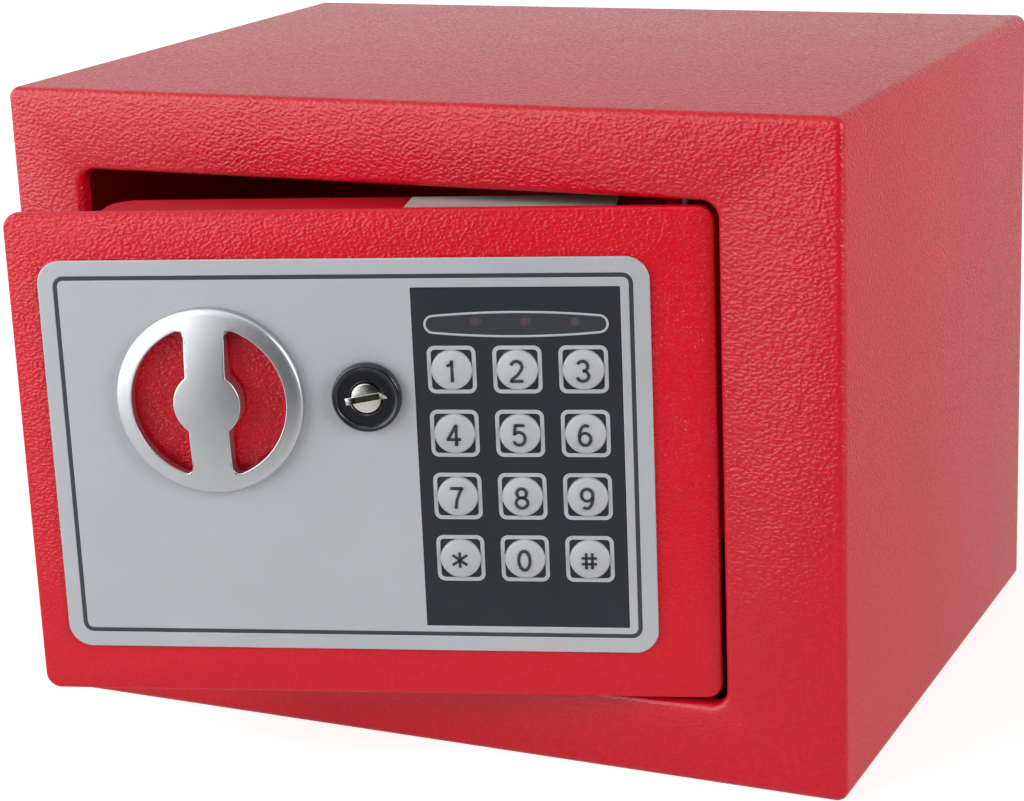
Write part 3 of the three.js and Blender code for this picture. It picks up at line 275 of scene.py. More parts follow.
wrinkleLook = {
    "level": (0.72, 0.72, 1.0), "layers": ((1.0, 0.12), (2.1, 0.0)), "from": 0.27, "to": 0.7, "second": 0.2,
    "patch": 0.06, "patchDetail": 2.0, "patchFrom": 0.35, "patchTo": 0.65,
}


def buildWrinkle(look):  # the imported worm-like crests of stoved wrinkle paint
    tree, source, result = newGroup(
        "wrinkle",
        [("Vector", "Vector", None), ("Float", "Ridge Size", 0.0015), ("Float", "Least Relief", 0.5)],
        ["Height", "Crest"])
    level = vectorMaths(tree, "MULTIPLY", source["Vector"], look["level"])  # ridges lie level
    place = inSizes(tree, level, source["Ridge Size"])
    layers = [noise(tree, place, Scale=scale, Detail=0.0, Distortion=twist)
              for scale, twist in look["layers"]]
    ridges = [ranged(tree, layer, look["from"], look["to"]) for layer in layers]
    top = mixedValue(tree, look["second"], *ridges)
    broad = noise(tree, place, Scale=look["patch"], Detail=look["patchDetail"])
    patch = ranged(tree, broad, look["patchFrom"], look["patchTo"])
    soften = ranged(tree, patch, 0.0, 1.0, source["Least Relief"], 1.0)
    link(tree, maths(tree, "MULTIPLY", top, soften), result, "Height")
    link(tree, top, result, "Crest")
    return tree


fineGrain = buildFineGrain(grainLook)
edgeHighlightMask = buildEdgeHighlightMask(edgeHighlightLook)
wrinkle = buildWrinkle(wrinkleLook)


# Finishes

paintLook = {  # lengths in metres, roughness and relief as shares
    "grain": 0.00045, "cloud": 0.05, "cloudTint": 0.06, "fineRelief": 0.12, "specular": 0.42,
    "fold": 0.004, "foldPatch": 0.004, "foldHighlightShare": 0.35, "foldHighlightLift": (18, 12, 14), "foldRelief": 0.3,
    "valleyDuller": 0.08, "crestBrighter": 0.05,
    "lowFrom": 0.035, "lowTo": 0.085, "lowRelief": 0.22,
    "hollowMiddle": (0, 0.004, 0.085), "hollowHalf": (0.114, 0.0808, 0.084), "hollowEdge": 0.992,
    "hollowRoughness": 0.9,
}


def inHollow(tree, spot, look):  # 1 on the walls inside the safe
    share = vectorMaths(tree, "DIVIDE", vectorMaths(tree, "SUBTRACT", spot, look["hollowMiddle"]),
                        look["hollowHalf"])
    reach = axesOf(tree, vectorMaths(tree, "ABSOLUTE", share))
    furthest = maths(tree, "MAXIMUM", maths(tree, "MAXIMUM", reach["X"], reach["Y"]), reach["Z"])
    return ranged(tree, furthest, 1.0, look["hollowEdge"])


def wrinklePaint(name, shadedValley, crest, ridgeSize, leastRelief, depth, roughness, look=paintLook):
    material, tree, shader, spot = newMaterial(name)
    ridges = useGroup(tree, wrinkle, {"Vector": spot, "Ridge Size": ridgeSize, "Least Relief": leastRelief})
    grain = useGroup(tree, fineGrain,
                     {"Vector": spot, "Grain Size": look["grain"], "Cloud Size": look["cloud"]})
    edgeLight = useGroup(tree, edgeHighlightMask, {"Vector": spot, "Radius": look["fold"], "Patch Size": look["foldPatch"]})
    # valleys take a darker red than crests: painted shade in the wrinkle hollows
    tone = mixedColour(tree, ridges["Crest"], srgb(*shadedValley), srgb(*crest))
    cloudy = mixedColour(tree, look["cloudTint"], tone, grain["Tone"], "MULTIPLY")
    # lighter red along the folds: a painted highlight
    foldHighlightTone = srgb(*[min(c + more, 255) for c, more in zip(crest, look["foldHighlightLift"])])
    highlighted = mixedColour(tree, maths(tree, "MULTIPLY", edgeLight["Highlight"], look["foldHighlightShare"]), cloudy, foldHighlightTone)
    link(tree, highlighted, shader, "Base Color")
    sheen = ranged(tree, ridges["Crest"], 0.0, 1.0, roughness + look["valleyDuller"],
                   roughness - look["crestBrighter"])
    hollow = inHollow(tree, spot, look)  # where the coat is thin and dull
    link(tree, mixedValue(tree, hollow, sheen, look["hollowRoughness"]), shader, "Roughness")
    shader.inputs["Specular IOR Level"].default_value = look["specular"]
    onFolds = ranged(tree, edgeLight["Near Edge"], 0.0, 1.0, 1.0, look["foldRelief"])  # paint runs thin there
    lowDown = ranged(tree, axesOf(tree, spot)["Z"], look["lowFrom"], look["lowTo"], look["lowRelief"], 1.0)
    relief = maths(tree, "MULTIPLY", ridges["Height"], maths(tree, "MULTIPLY", onFolds, lowDown))
    height = maths(tree, "ADD", relief, maths(tree, "MULTIPLY", grain["Height"], look["fineRelief"]))
    bump = addNode(tree, "ShaderNodeBump", {"Strength": 1.0, "Distance": depth, "Height": height})
    link(tree, bump.outputs["Normal"], shader, "Normal")
    return material


plainLook = {"speckle": 0.4, "edge": 0.0004, "edgePatch": 0.003}


def plainFinish(name, dark, light, roughness, metallic=0.0, grainSize=0.0005, cloudSize=0.02, depth=0.00001,
                edgeLight=0.0, highlightColour=(230, 230, 230), specular=0.5, alpha=1.0, look=plainLook):
    material, tree, shader, spot = newMaterial(name)
    grain = useGroup(tree, fineGrain, {"Vector": spot, "Grain Size": grainSize, "Cloud Size": cloudSize})
    share = mixedValue(tree, look["speckle"], grain["Tone"], grain["Speckle"])
    colour = mixedColour(tree, share, srgb(*dark), srgb(*light))
    # edges take a lighter colour: a painted highlight
    if edgeLight:
        litEdge = useGroup(tree, edgeHighlightMask,
                        {"Vector": spot, "Radius": look["edge"], "Patch Size": look["edgePatch"]})
        colour = mixedColour(tree, maths(tree, "MULTIPLY", litEdge["Highlight"], edgeLight), colour, srgb(*highlightColour))
    link(tree, colour, shader, "Base Color")
    link(tree, ranged(tree, grain["Speckle"], 0.0, 1.0, *roughness), shader, "Roughness")
    shader.inputs["Metallic"].default_value = metallic
    shader.inputs["Specular IOR Level"].default_value = specular
    shader.inputs["Alpha"].default_value = alpha
    bump = addNode(tree, "ShaderNodeBump", {"Strength": 1.0, "Distance": depth, "Height": grain["Height"]})
    link(tree, bump.outputs["Normal"], shader, "Normal")
    return material


finishes = {
    "textured_red_paint": wrinklePaint("framePaint", (194, 5, 30), (211, 10, 38), ridgeSize=0.00074,
                                       leastRelief=0.6, depth=0.00021, roughness=0.29),
    # a lighter copy of the frame's red: painted light on the door
    "door_paint": wrinklePaint("doorPaint", (206, 3, 31), (218, 6, 36), ridgeSize=0.00066, leastRelief=0.6,
                               depth=0.0002, roughness=0.3),
    # lighter red along the housing's edges: a painted highlight
    "smooth_red_paint": plainFinish("housingPaint", (196, 20, 36), (206, 28, 44), (0.30, 0.36),
                                    depth=0.000012, grainSize=0.0012, edgeLight=0.3, highlightColour=(224, 70, 80)),
    "silver_fascia": plainFinish("silverSheet", (181, 184, 189), (191, 194, 199), (0.42, 0.5), metallic=0.3,
                                 grainSize=0.0003, depth=0.000004),
    # near white along the knob's edges: a painted highlight
    "satin_knob": plainFinish("satinMetal", (190, 193, 195), (206, 208, 210), (0.34, 0.41), metallic=1.0,
                              grainSize=0.0004, depth=0.000004, edgeLight=0.3, highlightColour=(245, 246, 248)),
    "black_panel": plainFinish("keypadBlack", (35, 37, 43), (40, 43, 49), (0.46, 0.54), grainSize=0.0003,
                               specular=0.3),
    "grey_keys": plainFinish("keyGrey", (177, 180, 183), (189, 192, 195), (0.40, 0.48), grainSize=0.0003),
    # pale grey along the bezel's lip: a painted highlight
    "gloss_black": plainFinish("glossBlack", (22, 24, 28), (30, 32, 36), (0.16, 0.24), grainSize=0.0005,
                               edgeLight=0.8, highlightColour=(150, 154, 160)),
    "lock_chrome": plainFinish("chromePlate", (214, 212, 208), (228, 226, 222), (0.12, 0.2), metallic=1.0),
    "bright_steel": plainFinish("brightSteel", (170, 173, 176), (196, 199, 202), (0.2, 0.3), metallic=1.0),
    "dark_steel": plainFinish("darkSteel", (48, 46, 46), (66, 64, 63), (0.42, 0.55), metallic=0.8),
    "zinc_plate": plainFinish("zincPlate", (168, 170, 168), (200, 202, 198), (0.32, 0.44), metallic=1.0,
                              cloudSize=0.004),
    "brass_bush": plainFinish("brass", (176, 140, 74), (206, 170, 96), (0.25, 0.35), metallic=1.0),
    "tinted_window": plainFinish("tintedWindow", (76, 78, 84), (82, 84, 90), (0.2, 0.26), grainSize=0.0006,
                                 alpha=0.5),
    # the lamp lenses are pale pink, not deep red: painted glints seen through the dark window
    "lamp_red": plainFinish("lampRed", (250, 150, 178), (255, 176, 198), (0.2, 0.3)),
    "circuit_green": plainFinish("circuitGreen", (16, 70, 40), (28, 96, 54), (0.3, 0.4)),
    "copper_coil": plainFinish("copperWire", (150, 84, 48), (190, 112, 66), (0.25, 0.35), metallic=1.0),
    "black_plastic": plainFinish("blackPlastic", (24, 24, 26), (34, 34, 36), (0.42, 0.55), depth=0.00003),
    "battery_jacket": plainFinish("batteryJacket", (40, 42, 48), (58, 60, 66), (0.25, 0.35)),
    "lead_red": plainFinish("leadRed", (150, 20, 24), (176, 34, 38), (0.35, 0.45)),
    "button_red": plainFinish("buttonRed", (176, 28, 34), (200, 44, 50), (0.3, 0.4)),
    # the label paper is greyer than white: painted shade from the frame's top edge
    "label_white": plainFinish("shadedLabelPaper", (176, 172, 166), (194, 190, 184), (0.6, 0.75), grainSize=0.0004),
    "floor_foam": plainFinish("matFelt", (34, 34, 36), (52, 52, 54), (0.85, 0.95), grainSize=0.0007,
                              depth=0.0002),
}
# hinge pins and brackets take dark steel in place of zinc: painted shade in the dark gap
specialFinish = {"door_plate": "door_paint", "hinge_pin_upper": "dark_steel", "hinge_pin_lower": "dark_steel",
                 "hinge_bracket_upper": "dark_steel", "hinge_bracket_lower": "dark_steel"}
for name, node in frame["nodes"].items():
    slotName = node.data.materials[0].name
    node.material_slots[0].link = "OBJECT"
    node.material_slots[0].material = finishes[specialFinish.get(name, slotName)]


# CAD nodes keep their meshes. Live modifiers round their edges.
nodeLook = {  # angles in degrees, lengths in metres
    "weld": 0.000001, "smoothUpTo": 33, "flatten": 0.5, "bevelFrom": 40, "edge": 0.0002,
    "edges": {"knob_bush": 0.0003, "lock_barrel": 0.0003, "lock_nut": 0.0004},
    "tooThin": ["keypad_panel", "indicator_window", "blank_label"],
}


def roundedShading(look):  # welds the loose triangles for show and shades round walls smooth
    tree = bpy.data.node_groups.new("roundedShading", "GeometryNodeTree")
    for inOut in ("INPUT", "OUTPUT"):
        tree.interface.new_socket("Geometry", in_out=inOut, socket_type="NodeSocketGeometry")
    angle = addNode(tree, "GeometryNodeInputMeshEdgeAngle").outputs["Unsigned Angle"]
    sharp = addNode(tree, "FunctionNodeCompare", {"A": angle, "B": radians(look["smoothUpTo"])},
                    operation="GREATER_THAN").outputs["Result"]
    shape = addNode(tree, "NodeGroupInput").outputs["Geometry"]
    for kind, feeds, settings in (
            ("GeometryNodeMergeByDistance", {"Distance": look["weld"]}, {}),
            ("GeometryNodeSetShadeSmooth", {}, {"domain": "FACE"}),
            ("GeometryNodeSetShadeSmooth", {"Selection": sharp, "Shade Smooth": False}, {"domain": "EDGE"}),
            ("GeometryNodeRemoveAttribute", {"Name": "custom_normal"}, {})):
        shape = addNode(tree, kind, {"Geometry": shape, **feeds}, **settings).outputs["Geometry"]
    addNode(tree, "NodeGroupOutput", {"Geometry": shape})
    return tree


shading = roundedShading(nodeLook)
for name, node in frame["nodes"].items():
    weld = node.modifiers.new("weld", "NODES")
    weld.node_group = shading
    flat = node.modifiers.new("flats", "DECIMATE")
    flat.decimate_type = "DISSOLVE"
    flat.angle_limit = radians(nodeLook["flatten"])
    if name in nodeLook["tooThin"]:
        continue
    bevel = node.modifiers.new("edges", "BEVEL")
    bevel.width = nodeLook["edges"].get(name, nodeLook["edge"])
    bevel.segments = 2
    bevel.limit_method = "ANGLE"
    bevel.angle_limit = radians(nodeLook["bevelFrom"])
    bevel.use_clamp_overlap = False
    bevel.harden_normals = True
print("finishes on")


# New pieces. Sizes are in millimetres and heights count from a piece's seat towards the front.
cutReach = 0.02  # in metres, how far a cutter runs


def arc(x, z, rx, rz, start, end, steps=20):
    return [(x + rx * cos(radians(start + (end - start) * i / steps)),
             z + rz * sin(radians(start + (end - start) * i / steps))) for i in range(steps + 1)]


def spun(name, profile, sides, centre):  # a turned shape about an axis that points to the front
    fresh()
    bpy.ops.mesh.primitive_circle_add(vertices=len(profile), radius=0.01, fill_type="NOTHING")
    piece = bpy.context.object
    piece.name = piece.data.name = name
    for vertex, (radius, height) in zip(piece.data.vertices, profile):
        vertex.co = (centre[0] + radius / 1000, centre[1] - height / 1000, centre[2])
    openMesh(piece)
    bpy.ops.mesh.spin(steps=sides, angle=2 * pi, center=centre, axis=(0, 1, 0))
    bpy.ops.mesh.select_all(action="SELECT")
    bpy.ops.mesh.remove_doubles(threshold=0.000002)
    bpy.ops.mesh.dissolve_degenerate(threshold=0.000001)
    closeMesh()
    return piece


def roundedSheet(name, width, height, corner, place, depth=0.0, steps=8):  # faces the front
    fresh()
    bpy.ops.mesh.primitive_plane_add(size=1, location=place, rotation=(pi / 2, 0, 0))
    piece = bpy.context.object
    piece.name = piece.data.name = name
    piece.scale = (width, height, 1)
    settle(piece, onDoor=False)
    openMesh(piece)
    bpy.ops.mesh.bevel(offset=corner, segments=steps, affect="VERTICES")
    if depth:
        drawOut(depth)
        closeMesh()
    bpy.ops.object.mode_set(mode="OBJECT")
    return piece


def ringSheet(name, width, height, corner, line, place, depth):  # a rounded frame line of one width
    piece = roundedSheet(name, width, height, corner, place)
    openMesh(piece)
    bpy.ops.mesh.select_mode(type="FACE")
    bpy.ops.mesh.select_all(action="SELECT")
    bpy.ops.mesh.inset(thickness=line, use_even_offset=True)
    bpy.ops.mesh.delete(type="FACE")
    drawOut(depth)
    closeMesh()
    return piece


# Knob: a shallow turned dome with two finger openings beside its bar and hub
knobShape = {
    "outer": 23.6, "rim": 2.2, "height": 5.4, "ring": 19.45, "hub": 8.45, "bar": 10.2,
    "tip": 1.6, "neck": 0.6, "bore": 3.25, "boreDepth": 3.6, "boreSides": 48, "softEdge": 0.28, "sides": 128,
    "foot": [(0.35, 0), (0.1, 0.1), (0, 0.35)],  # in from the outer edge, up from the back
    "shoulder": [(0, 0.45), (0.15, 0.12)],  # in from the outer edge, down from the rim
    "domeFrom": 0.5, "domeRadii": (22, 20.6, 19.2, 17.6, 16, 14, 12, 10, 8, 6, 4, 2),
    "tipSteps": 8, "ringSteps": 56, "neckSteps": 4, "hubSteps": 32,
}


def fingerOutline(shape, side):  # one opening: bar side, two soft tips, ring arc, soft necks and hub arc
    ring, hub, half = shape["ring"], shape["hub"], shape["bar"] / 2
    tip, neck = shape["tip"], shape["neck"]
    tipX, neckX = half + tip, half + neck
    tipZ = ((ring - tip) ** 2 - tipX ** 2) ** 0.5
    neckZ = ((hub + neck) ** 2 - neckX ** 2) ** 0.5
    tipTurn, neckTurn = degrees(atan2(tipZ, tipX)), degrees(atan2(neckZ, neckX))
    path = arc(tipX, tipZ, tip, tip, 180, tipTurn, shape["tipSteps"])
    path += arc(0, 0, ring, ring, tipTurn, -tipTurn, shape["ringSteps"])[1:-1]
    path += arc(tipX, -tipZ, tip, tip, -tipTurn, -180, shape["tipSteps"])
    path += arc(neckX, -neckZ, neck, neck, 180, 180 - neckTurn, shape["neckSteps"])
    path += arc(0, 0, hub, hub, -neckTurn, neckTurn, shape["hubSteps"])[1:-1]
    path += arc(neckX, neckZ, neck, neck, 180 + neckTurn, 180, shape["neckSteps"])
    return [(side * x, z) for x, z in path]


def fingerCutter(shape, side, centre):
    outline = fingerOutline(shape, side)
    fresh()
    bpy.ops.mesh.primitive_circle_add(vertices=len(outline), radius=0.01, fill_type="NGON")
    cutter = bpy.context.object
    for vertex, (x, z) in zip(cutter.data.vertices, outline):
        vertex.co = (centre[0] + x / 1000, centre[1] - cutReach, centre[2] + z / 1000)
    openMesh(cutter)
    drawOut(2 * cutReach)
    closeMesh()
    return cutter


def makeKnob(shape):
    low, high = shutBox("knob")
    centre = seatOf(low, high)
    outer, rim, height = shape["outer"], shape["rim"], shape["height"]
    dome = (outer ** 2 + (height - rim) ** 2) / (2 * (height - rim))
    profile = [(0, 0)] + [(outer - inward, up) for inward, up in shape["foot"]]
    profile += [(outer - inward, rim - down) for inward, down in shape["shoulder"]]
    profile += [(r, height - dome + (dome ** 2 - r ** 2) ** 0.5)
                for r in (outer - shape["domeFrom"],) + shape["domeRadii"]]
    knob = spun("knobFace", profile + [(0, height)], shape["sides"], centre)
    for side in (-1, 1):
        trim(knob, fingerCutter(shape, side, centre))
    fresh()
    boreMiddle = (centre[0], centre[1] + cutReach / 2 - shape["boreDepth"] / 1000, centre[2])
    bpy.ops.mesh.primitive_cylinder_add(vertices=shape["boreSides"], radius=shape["bore"] / 1000,
                                        depth=cutReach, location=boreMiddle, rotation=(pi / 2, 0, 0))
    trim(knob, bpy.context.object)
    settle(knob)
    finishWith(knob, "BEVEL", width=shape["softEdge"] / 1000, segments=3, limit_method="ANGLE",
               angle_limit=radians(50), use_clamp_overlap=False, harden_normals=False)
    smoothed(knob, 40)
    dress(knob, finishes["satin_knob"])
    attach(knob, "turn_knob")
    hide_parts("knob")


makeKnob(knobShape)
print("knob done")


# Keypad: twelve domed keys with dark digits, and the lines printed round them
keyShape = {
    "cap": 5.0, "flange": 11.0, "flangeThick": 0.8, "flangeCorner": 1.2, "stem": 1.5, "stemEdge": 0.2,
    "overlap": 0.1, "panelGap": 0.15, "overPanel": 0.45, "softEdge": 0.12, "sides": 48,
    "shoulder": [(0, 0), (0.12, 0.28), (0.45, 0.55)],  # in from the cap's edge, up from its rim
    "domeFrom": 0.62, "domeRadii": (4.0, 3.4, 2.8, 2.1, 1.4, 0.7),
    "stroke": 0.74, "thinner": 0.9, "tall": 5.0, "ink": 0.1, "inkGap": 0.02,
}
keyNames = ["1", "2", "3", "4", "5", "6", "7", "8", "9", "star", "0", "hash"]
thinMarks = ["star", "hash"]
digitStrokes = {  # across and up from a key's middle, in shares of a digit's height
    "1": [[(0.06, 0.55), (0.06, -0.55)], [(-0.2, 0.27), (-0.1, 0.3), (-0.01, 0.36), (0.06, 0.46)]],
    "2": [arc(0, 0.22, 0.27, 0.28, 165, -35) + [(0.05, -0.18), (-0.18, -0.36), (-0.27, -0.5)],
          [(-0.34, -0.5), (0.31, -0.5)]],
    "3": [arc(-0.01, 0.25, 0.25, 0.25, 160, -90), arc(-0.01, -0.24, 0.29, 0.26, 90, -165)],
    "4": [[(0.12, -0.55), (0.12, 0.55)], [(0.12, 0.5), (-0.29, -0.2)], [(-0.36, -0.22), (0.34, -0.22)]],
    "5": [[(-0.24, 0.5), (0.27, 0.5)], [(-0.18, 0.5), (-0.24, 0.0)],
          arc(-0.01, -0.17, 0.29, 0.33, 142, -155)],
    "6": [arc(0, -0.19, 0.28, 0.31, 0, 360, 32), arc(0.04, -0.1, 0.32, 0.6, 180, 62)],
    "7": [[(-0.31, 0.5), (0.33, 0.5)], [(0.26, 0.5), (0.12, 0.22), (0.0, -0.1), (-0.07, -0.55)]],
    "8": [arc(0, 0.26, 0.24, 0.24, 0, 360, 32), arc(0, -0.23, 0.29, 0.27, 0, 360, 32)],
    "9": [arc(0, 0.19, 0.28, 0.31, 0, 360, 32), arc(-0.04, 0.1, 0.32, 0.6, 0, -118)],
    "0": [arc(0, 0, 0.28, 0.5, 0, 360, 40)],
    "star": [[(0, 0.4), (0, -0.4)], [(-0.36, 0.26), (0.36, -0.26)], [(-0.36, -0.26), (0.36, 0.26)]],
    "hash": [[(-0.15, 0.42), (-0.15, -0.42)], [(0.15, 0.42), (0.15, -0.42)],
             [(-0.38, 0.15), (0.38, 0.15)], [(-0.38, -0.15), (0.38, -0.15)]],
}


def newCurve():  # an empty curve object
    fresh()
    bpy.ops.curve.primitive_bezier_circle_add(radius=0.01)
    bpy.context.object.data.splines.clear()
    return bpy.context.object


def addLine(curve, points, loop):
    spline = curve.data.splines.new("POLY")
    spline.points.add(len(points) - 1)
    for point, (x, y) in zip(spline.points, points):
        point.co = (x, y, 0, 1)
    spline.use_cyclic_u = loop


def ribbon(name, paths, width, thick, place, closed=False):  # flat printed strokes that face the front
    pen = newCurve()
    addLine(pen, [(x * width / 2, y * thick / 2) for x, y in ((-1, -1), (1, -1), (1, 1), (-1, 1))], True)
    line = newCurve()
    line.data.dimensions = "3D"
    line.data.twist_mode = "Z_UP"
    for path in paths:
        loop = closed or (len(path) > 3 and (Vector(path[0]) - Vector(path[-1])).length < 1e-6)
        if loop and not closed:
            path = path[:-1]
        addLine(line, path, loop)
    line.data.bevel_mode = "OBJECT"
    line.data.bevel_object = pen
    line.data.use_fill_caps = True
    take(line)
    bpy.ops.object.convert(target="MESH")
    piece = bpy.context.object
    bpy.data.objects.remove(pen, do_unlink=True)
    piece.name = piece.data.name = name
    piece.rotation_euler = (pi / 2, 0, 0)
    piece.location = place
    settle(piece, onDoor=False)
    openMesh(piece)
    bpy.ops.mesh.remove_doubles(threshold=0.000001)
    closeMesh()
    return piece


def keyBlank(shape, low, high):  # one key on its flange, as all twelve are
    seat = seatOf(low, high)
    panelLow, panelHigh = shutBox("keypad_panel")
    whole = (high.y - low.y) * 1000  # stem's end to the crown
    front = (high.y - panelHigh.y) * 1000 - shape["panelGap"]  # of the flange, behind the panel
    back = front - shape["flangeThick"]
    rim = (high.y - panelLow.y) * 1000 + shape["overPanel"]
    dome = rim + shape["domeFrom"]
    cap, stem, edge, lap = shape["cap"], shape["stem"], shape["stemEdge"], shape["overlap"]
    profile = [(0, 0), (stem - edge, 0), (stem, edge), (stem, back + lap), (cap, back + lap)]
    profile += [(cap - inward, rim + up) for inward, up in shape["shoulder"]]
    profile += [(r, dome + (whole - dome) * (1 - (r / shape["domeRadii"][0]) ** 2))
                for r in shape["domeRadii"]]
    key = spun("keyCap", profile + [(0, whole)], shape["sides"], seat)
    side = shape["flange"] / 1000
    flange = roundedSheet("flange", side, side, shape["flangeCorner"] / 1000,
                          (seat[0], seat[1] - front / 1000, seat[2]), shape["flangeThick"] / 1000, 4)
    trim(key, flange, "UNION")
    finishWith(key, "BEVEL", width=shape["softEdge"] / 1000, segments=2, limit_method="ANGLE",
               angle_limit=radians(55), use_clamp_overlap=True)
    return key


def makeKeys(shape):
    low, high = shutBox("key_5")
    centre = (low + high) / 2
    blank = keyBlank(shape, low, high)
    keyBase = blank.data
    bpy.data.objects.remove(blank, do_unlink=True)
    tall = shape["tall"] / 1000
    for name in keyNames:
        nodeLow, nodeHigh = shutBox("key_" + name)
        step = (nodeLow + nodeHigh) / 2 - centre
        cover = bpy.data.objects.new("keyCap_" + name, keyBase.copy())
        bpy.context.collection.objects.link(cover)
        cover.location = (step.x, 0, step.z)
        settle(cover)
        smoothed(cover, 40)
        dress(cover, finishes["grey_keys"])
        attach(cover, "key_" + name + "_button")
        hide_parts("key_" + name)
        paths = [[(x * tall, z * tall) for x, z in path] for path in digitStrokes[name]]
        stroke = shape["stroke"] * (shape["thinner"] if name in thinMarks else 1)
        digit = ribbon("keyDigit_" + name, paths, stroke / 1000, shape["ink"] / 1000,
                       (centre.x + step.x, nodeLow.y - shape["inkGap"] / 1000, centre.z + step.z))
        settle(digit)
        dress(digit, digitInk)
        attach(digit, "key_" + name + "_button")
    bpy.data.meshes.remove(keyBase)


digitInk = plainFinish("digitInk", (46, 49, 53), (54, 57, 61), (0.6, 0.7), grainSize=0.0003, specular=0.3)
makeKeys(keyShape)

panelPrint = {
    "keyLine": 0.98, "keySquare": 12.0, "keyCorner": 1.9, "ink": 0.08, "sunk": 0.01,
    "lampLine": 0.56, "lampOut": 0.16, "lampEnd": 3.9, "lampSteps": 24, "lampTurn": 85, "lampTurnSteps": 12,
}


def lampOutline(shape, low, high):  # bulging top and bottom with round ends, over the gap round the window
    out, steps, turn = shape["lampOut"] / 1000, shape["lampSteps"], shape["lampTurn"]
    half, end, bulge = (high.x - low.x) / 2 + out, shape["lampEnd"] / 2000 + out, (high.z - low.z) / 2 + out
    run = half - end
    upper = [(-run + 2 * run * i / steps, end + (bulge - end) * (1 - (2 * i / steps - 1) ** 2))
             for i in range(steps + 1)]
    return (upper + arc(run, 0, end, end, turn, -turn, shape["lampTurnSteps"])
            + [(x, -z) for x, z in reversed(upper)]
            + arc(-run, 0, end, end, 180 + turn, 180 - turn, shape["lampTurnSteps"]))


def makePanelPrint(shape):
    front = shutBox("keypad_panel")[0].y - shape["ink"] / 1000
    lines = []
    for name in keyNames:
        low, high = shutBox("key_" + name)
        middle = (low + high) / 2
        lines.append(ringSheet("line", shape["keySquare"] / 1000, shape["keySquare"] / 1000,
                               shape["keyCorner"] / 1000, shape["keyLine"] / 1000,
                               (middle.x, front, middle.z), (shape["ink"] + shape["sunk"]) / 1000))
    low, high = shutBox("indicator_window")
    middle = (low + high) / 2
    lines.append(ribbon("line", [lampOutline(shape, low, high)], shape["lampLine"] / 1000,
                        shape["ink"] / 1000, (middle.x, low.y - shape["ink"] / 2000, middle.z), closed=True))
    prints = joined(lines, "panelPrint")
    settle(prints)
    dress(prints, printGrey)
    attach(prints, "door")


printGrey = plainFinish("printGrey", (174, 178, 182), (184, 188, 192), (0.42, 0.5), grainSize=0.0003)
makePanelPrint(panelPrint)
print("keypad done")


# Fascia border: dark enamel in the pressed line
borderLine = {"inset": 4.0, "width": 1.0, "corner": 2.6, "deep": 0.22, "sunk": 0.03}


def makeBorder(shape):
    low, high = shutBox("fascia")
    inset = 2 * shape["inset"] / 1000
    place = ((low.x + high.x) / 2, low.y + shape["sunk"] / 1000, (low.z + high.z) / 2)
    line = ringSheet("fasciaBorder", high.x - low.x - inset, high.z - low.z - inset, shape["corner"] / 1000,
                     shape["width"] / 1000, place, shape["deep"] / 1000)
    settle(line)
    dress(line, borderInk)
    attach(line, "door")


borderInk = plainFinish("borderInk", (46, 49, 54), (54, 57, 62), (0.4, 0.5), grainSize=0.0003)
makeBorder(borderLine)


# Lock: turned black bezel with a thin lip, and a plated plug with a slanted keyway
lockShape = {
    "outer": 8.65, "height": 2.5, "face": 2.05, "hole": 4.15, "foot": 0.1, "bezelSides": 96,
    "lip": [(0, 0.7), (0.12, 0.35), (0.35, 0.08), (0.65, 0), (0.95, 0.06), (1.15, 0.22)],  # in, down
    "inner": [(1.25, 0.05), (1.4, 0), (2.2, 0)],  # in from the outer edge, up from the face
    "holeEdge": [(0.9, 0), (0.15, 0), (0, 0.15)],  # out from the hole, down from the face
    "plug": 3.75, "tail": 2.5, "plugGap": 0.1, "plugSides": 64, "plugEdge": [(0, 0.3), (0.1, 0.1), (0.35, 0)],
    "keyLong": 6.9, "keyWide": 1.5, "keyDeep": 5.0, "tilt": 10, "softEdge": 0.12,
    "wingLong": 10.4, "wingWide": 1.7, "wingThick": 0.3, "wingGap": 0.06,
    "shutterBack": 0.7, "shutterPlay": 0.06, "shutterEdge": 0.3,
}


def keyedBox(name, place, size, tilt):  # a small box laid along the slanted keyway
    fresh()
    bpy.ops.mesh.primitive_cube_add(size=1, location=place)
    box = bpy.context.object
    box.name = box.data.name = name
    box.scale = [side / 1000 for side in size]
    box.rotation_euler = (0, radians(-tilt), 0)
    settle(box, onDoor=False)
    return box


def makeBezel(shape, centre):
    outer, top, face, hole = shape["outer"], shape["height"], shape["face"], shape["hole"]
    profile = [(hole, 0), (outer - shape["foot"], 0), (outer, shape["foot"])]
    profile += [(outer - inward, top - down) for inward, down in shape["lip"]]
    profile += [(outer - inward, face + up) for inward, up in shape["inner"]]
    profile += [(hole + outward, face - down) for outward, down in shape["holeEdge"]]
    bezel = spun("lockBezel", profile, shape["bezelSides"], centre)
    settle(bezel)
    smoothed(bezel, 40)
    dress(bezel, finishes["gloss_black"])
    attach(bezel, "door")
    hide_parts("lock_bezel")


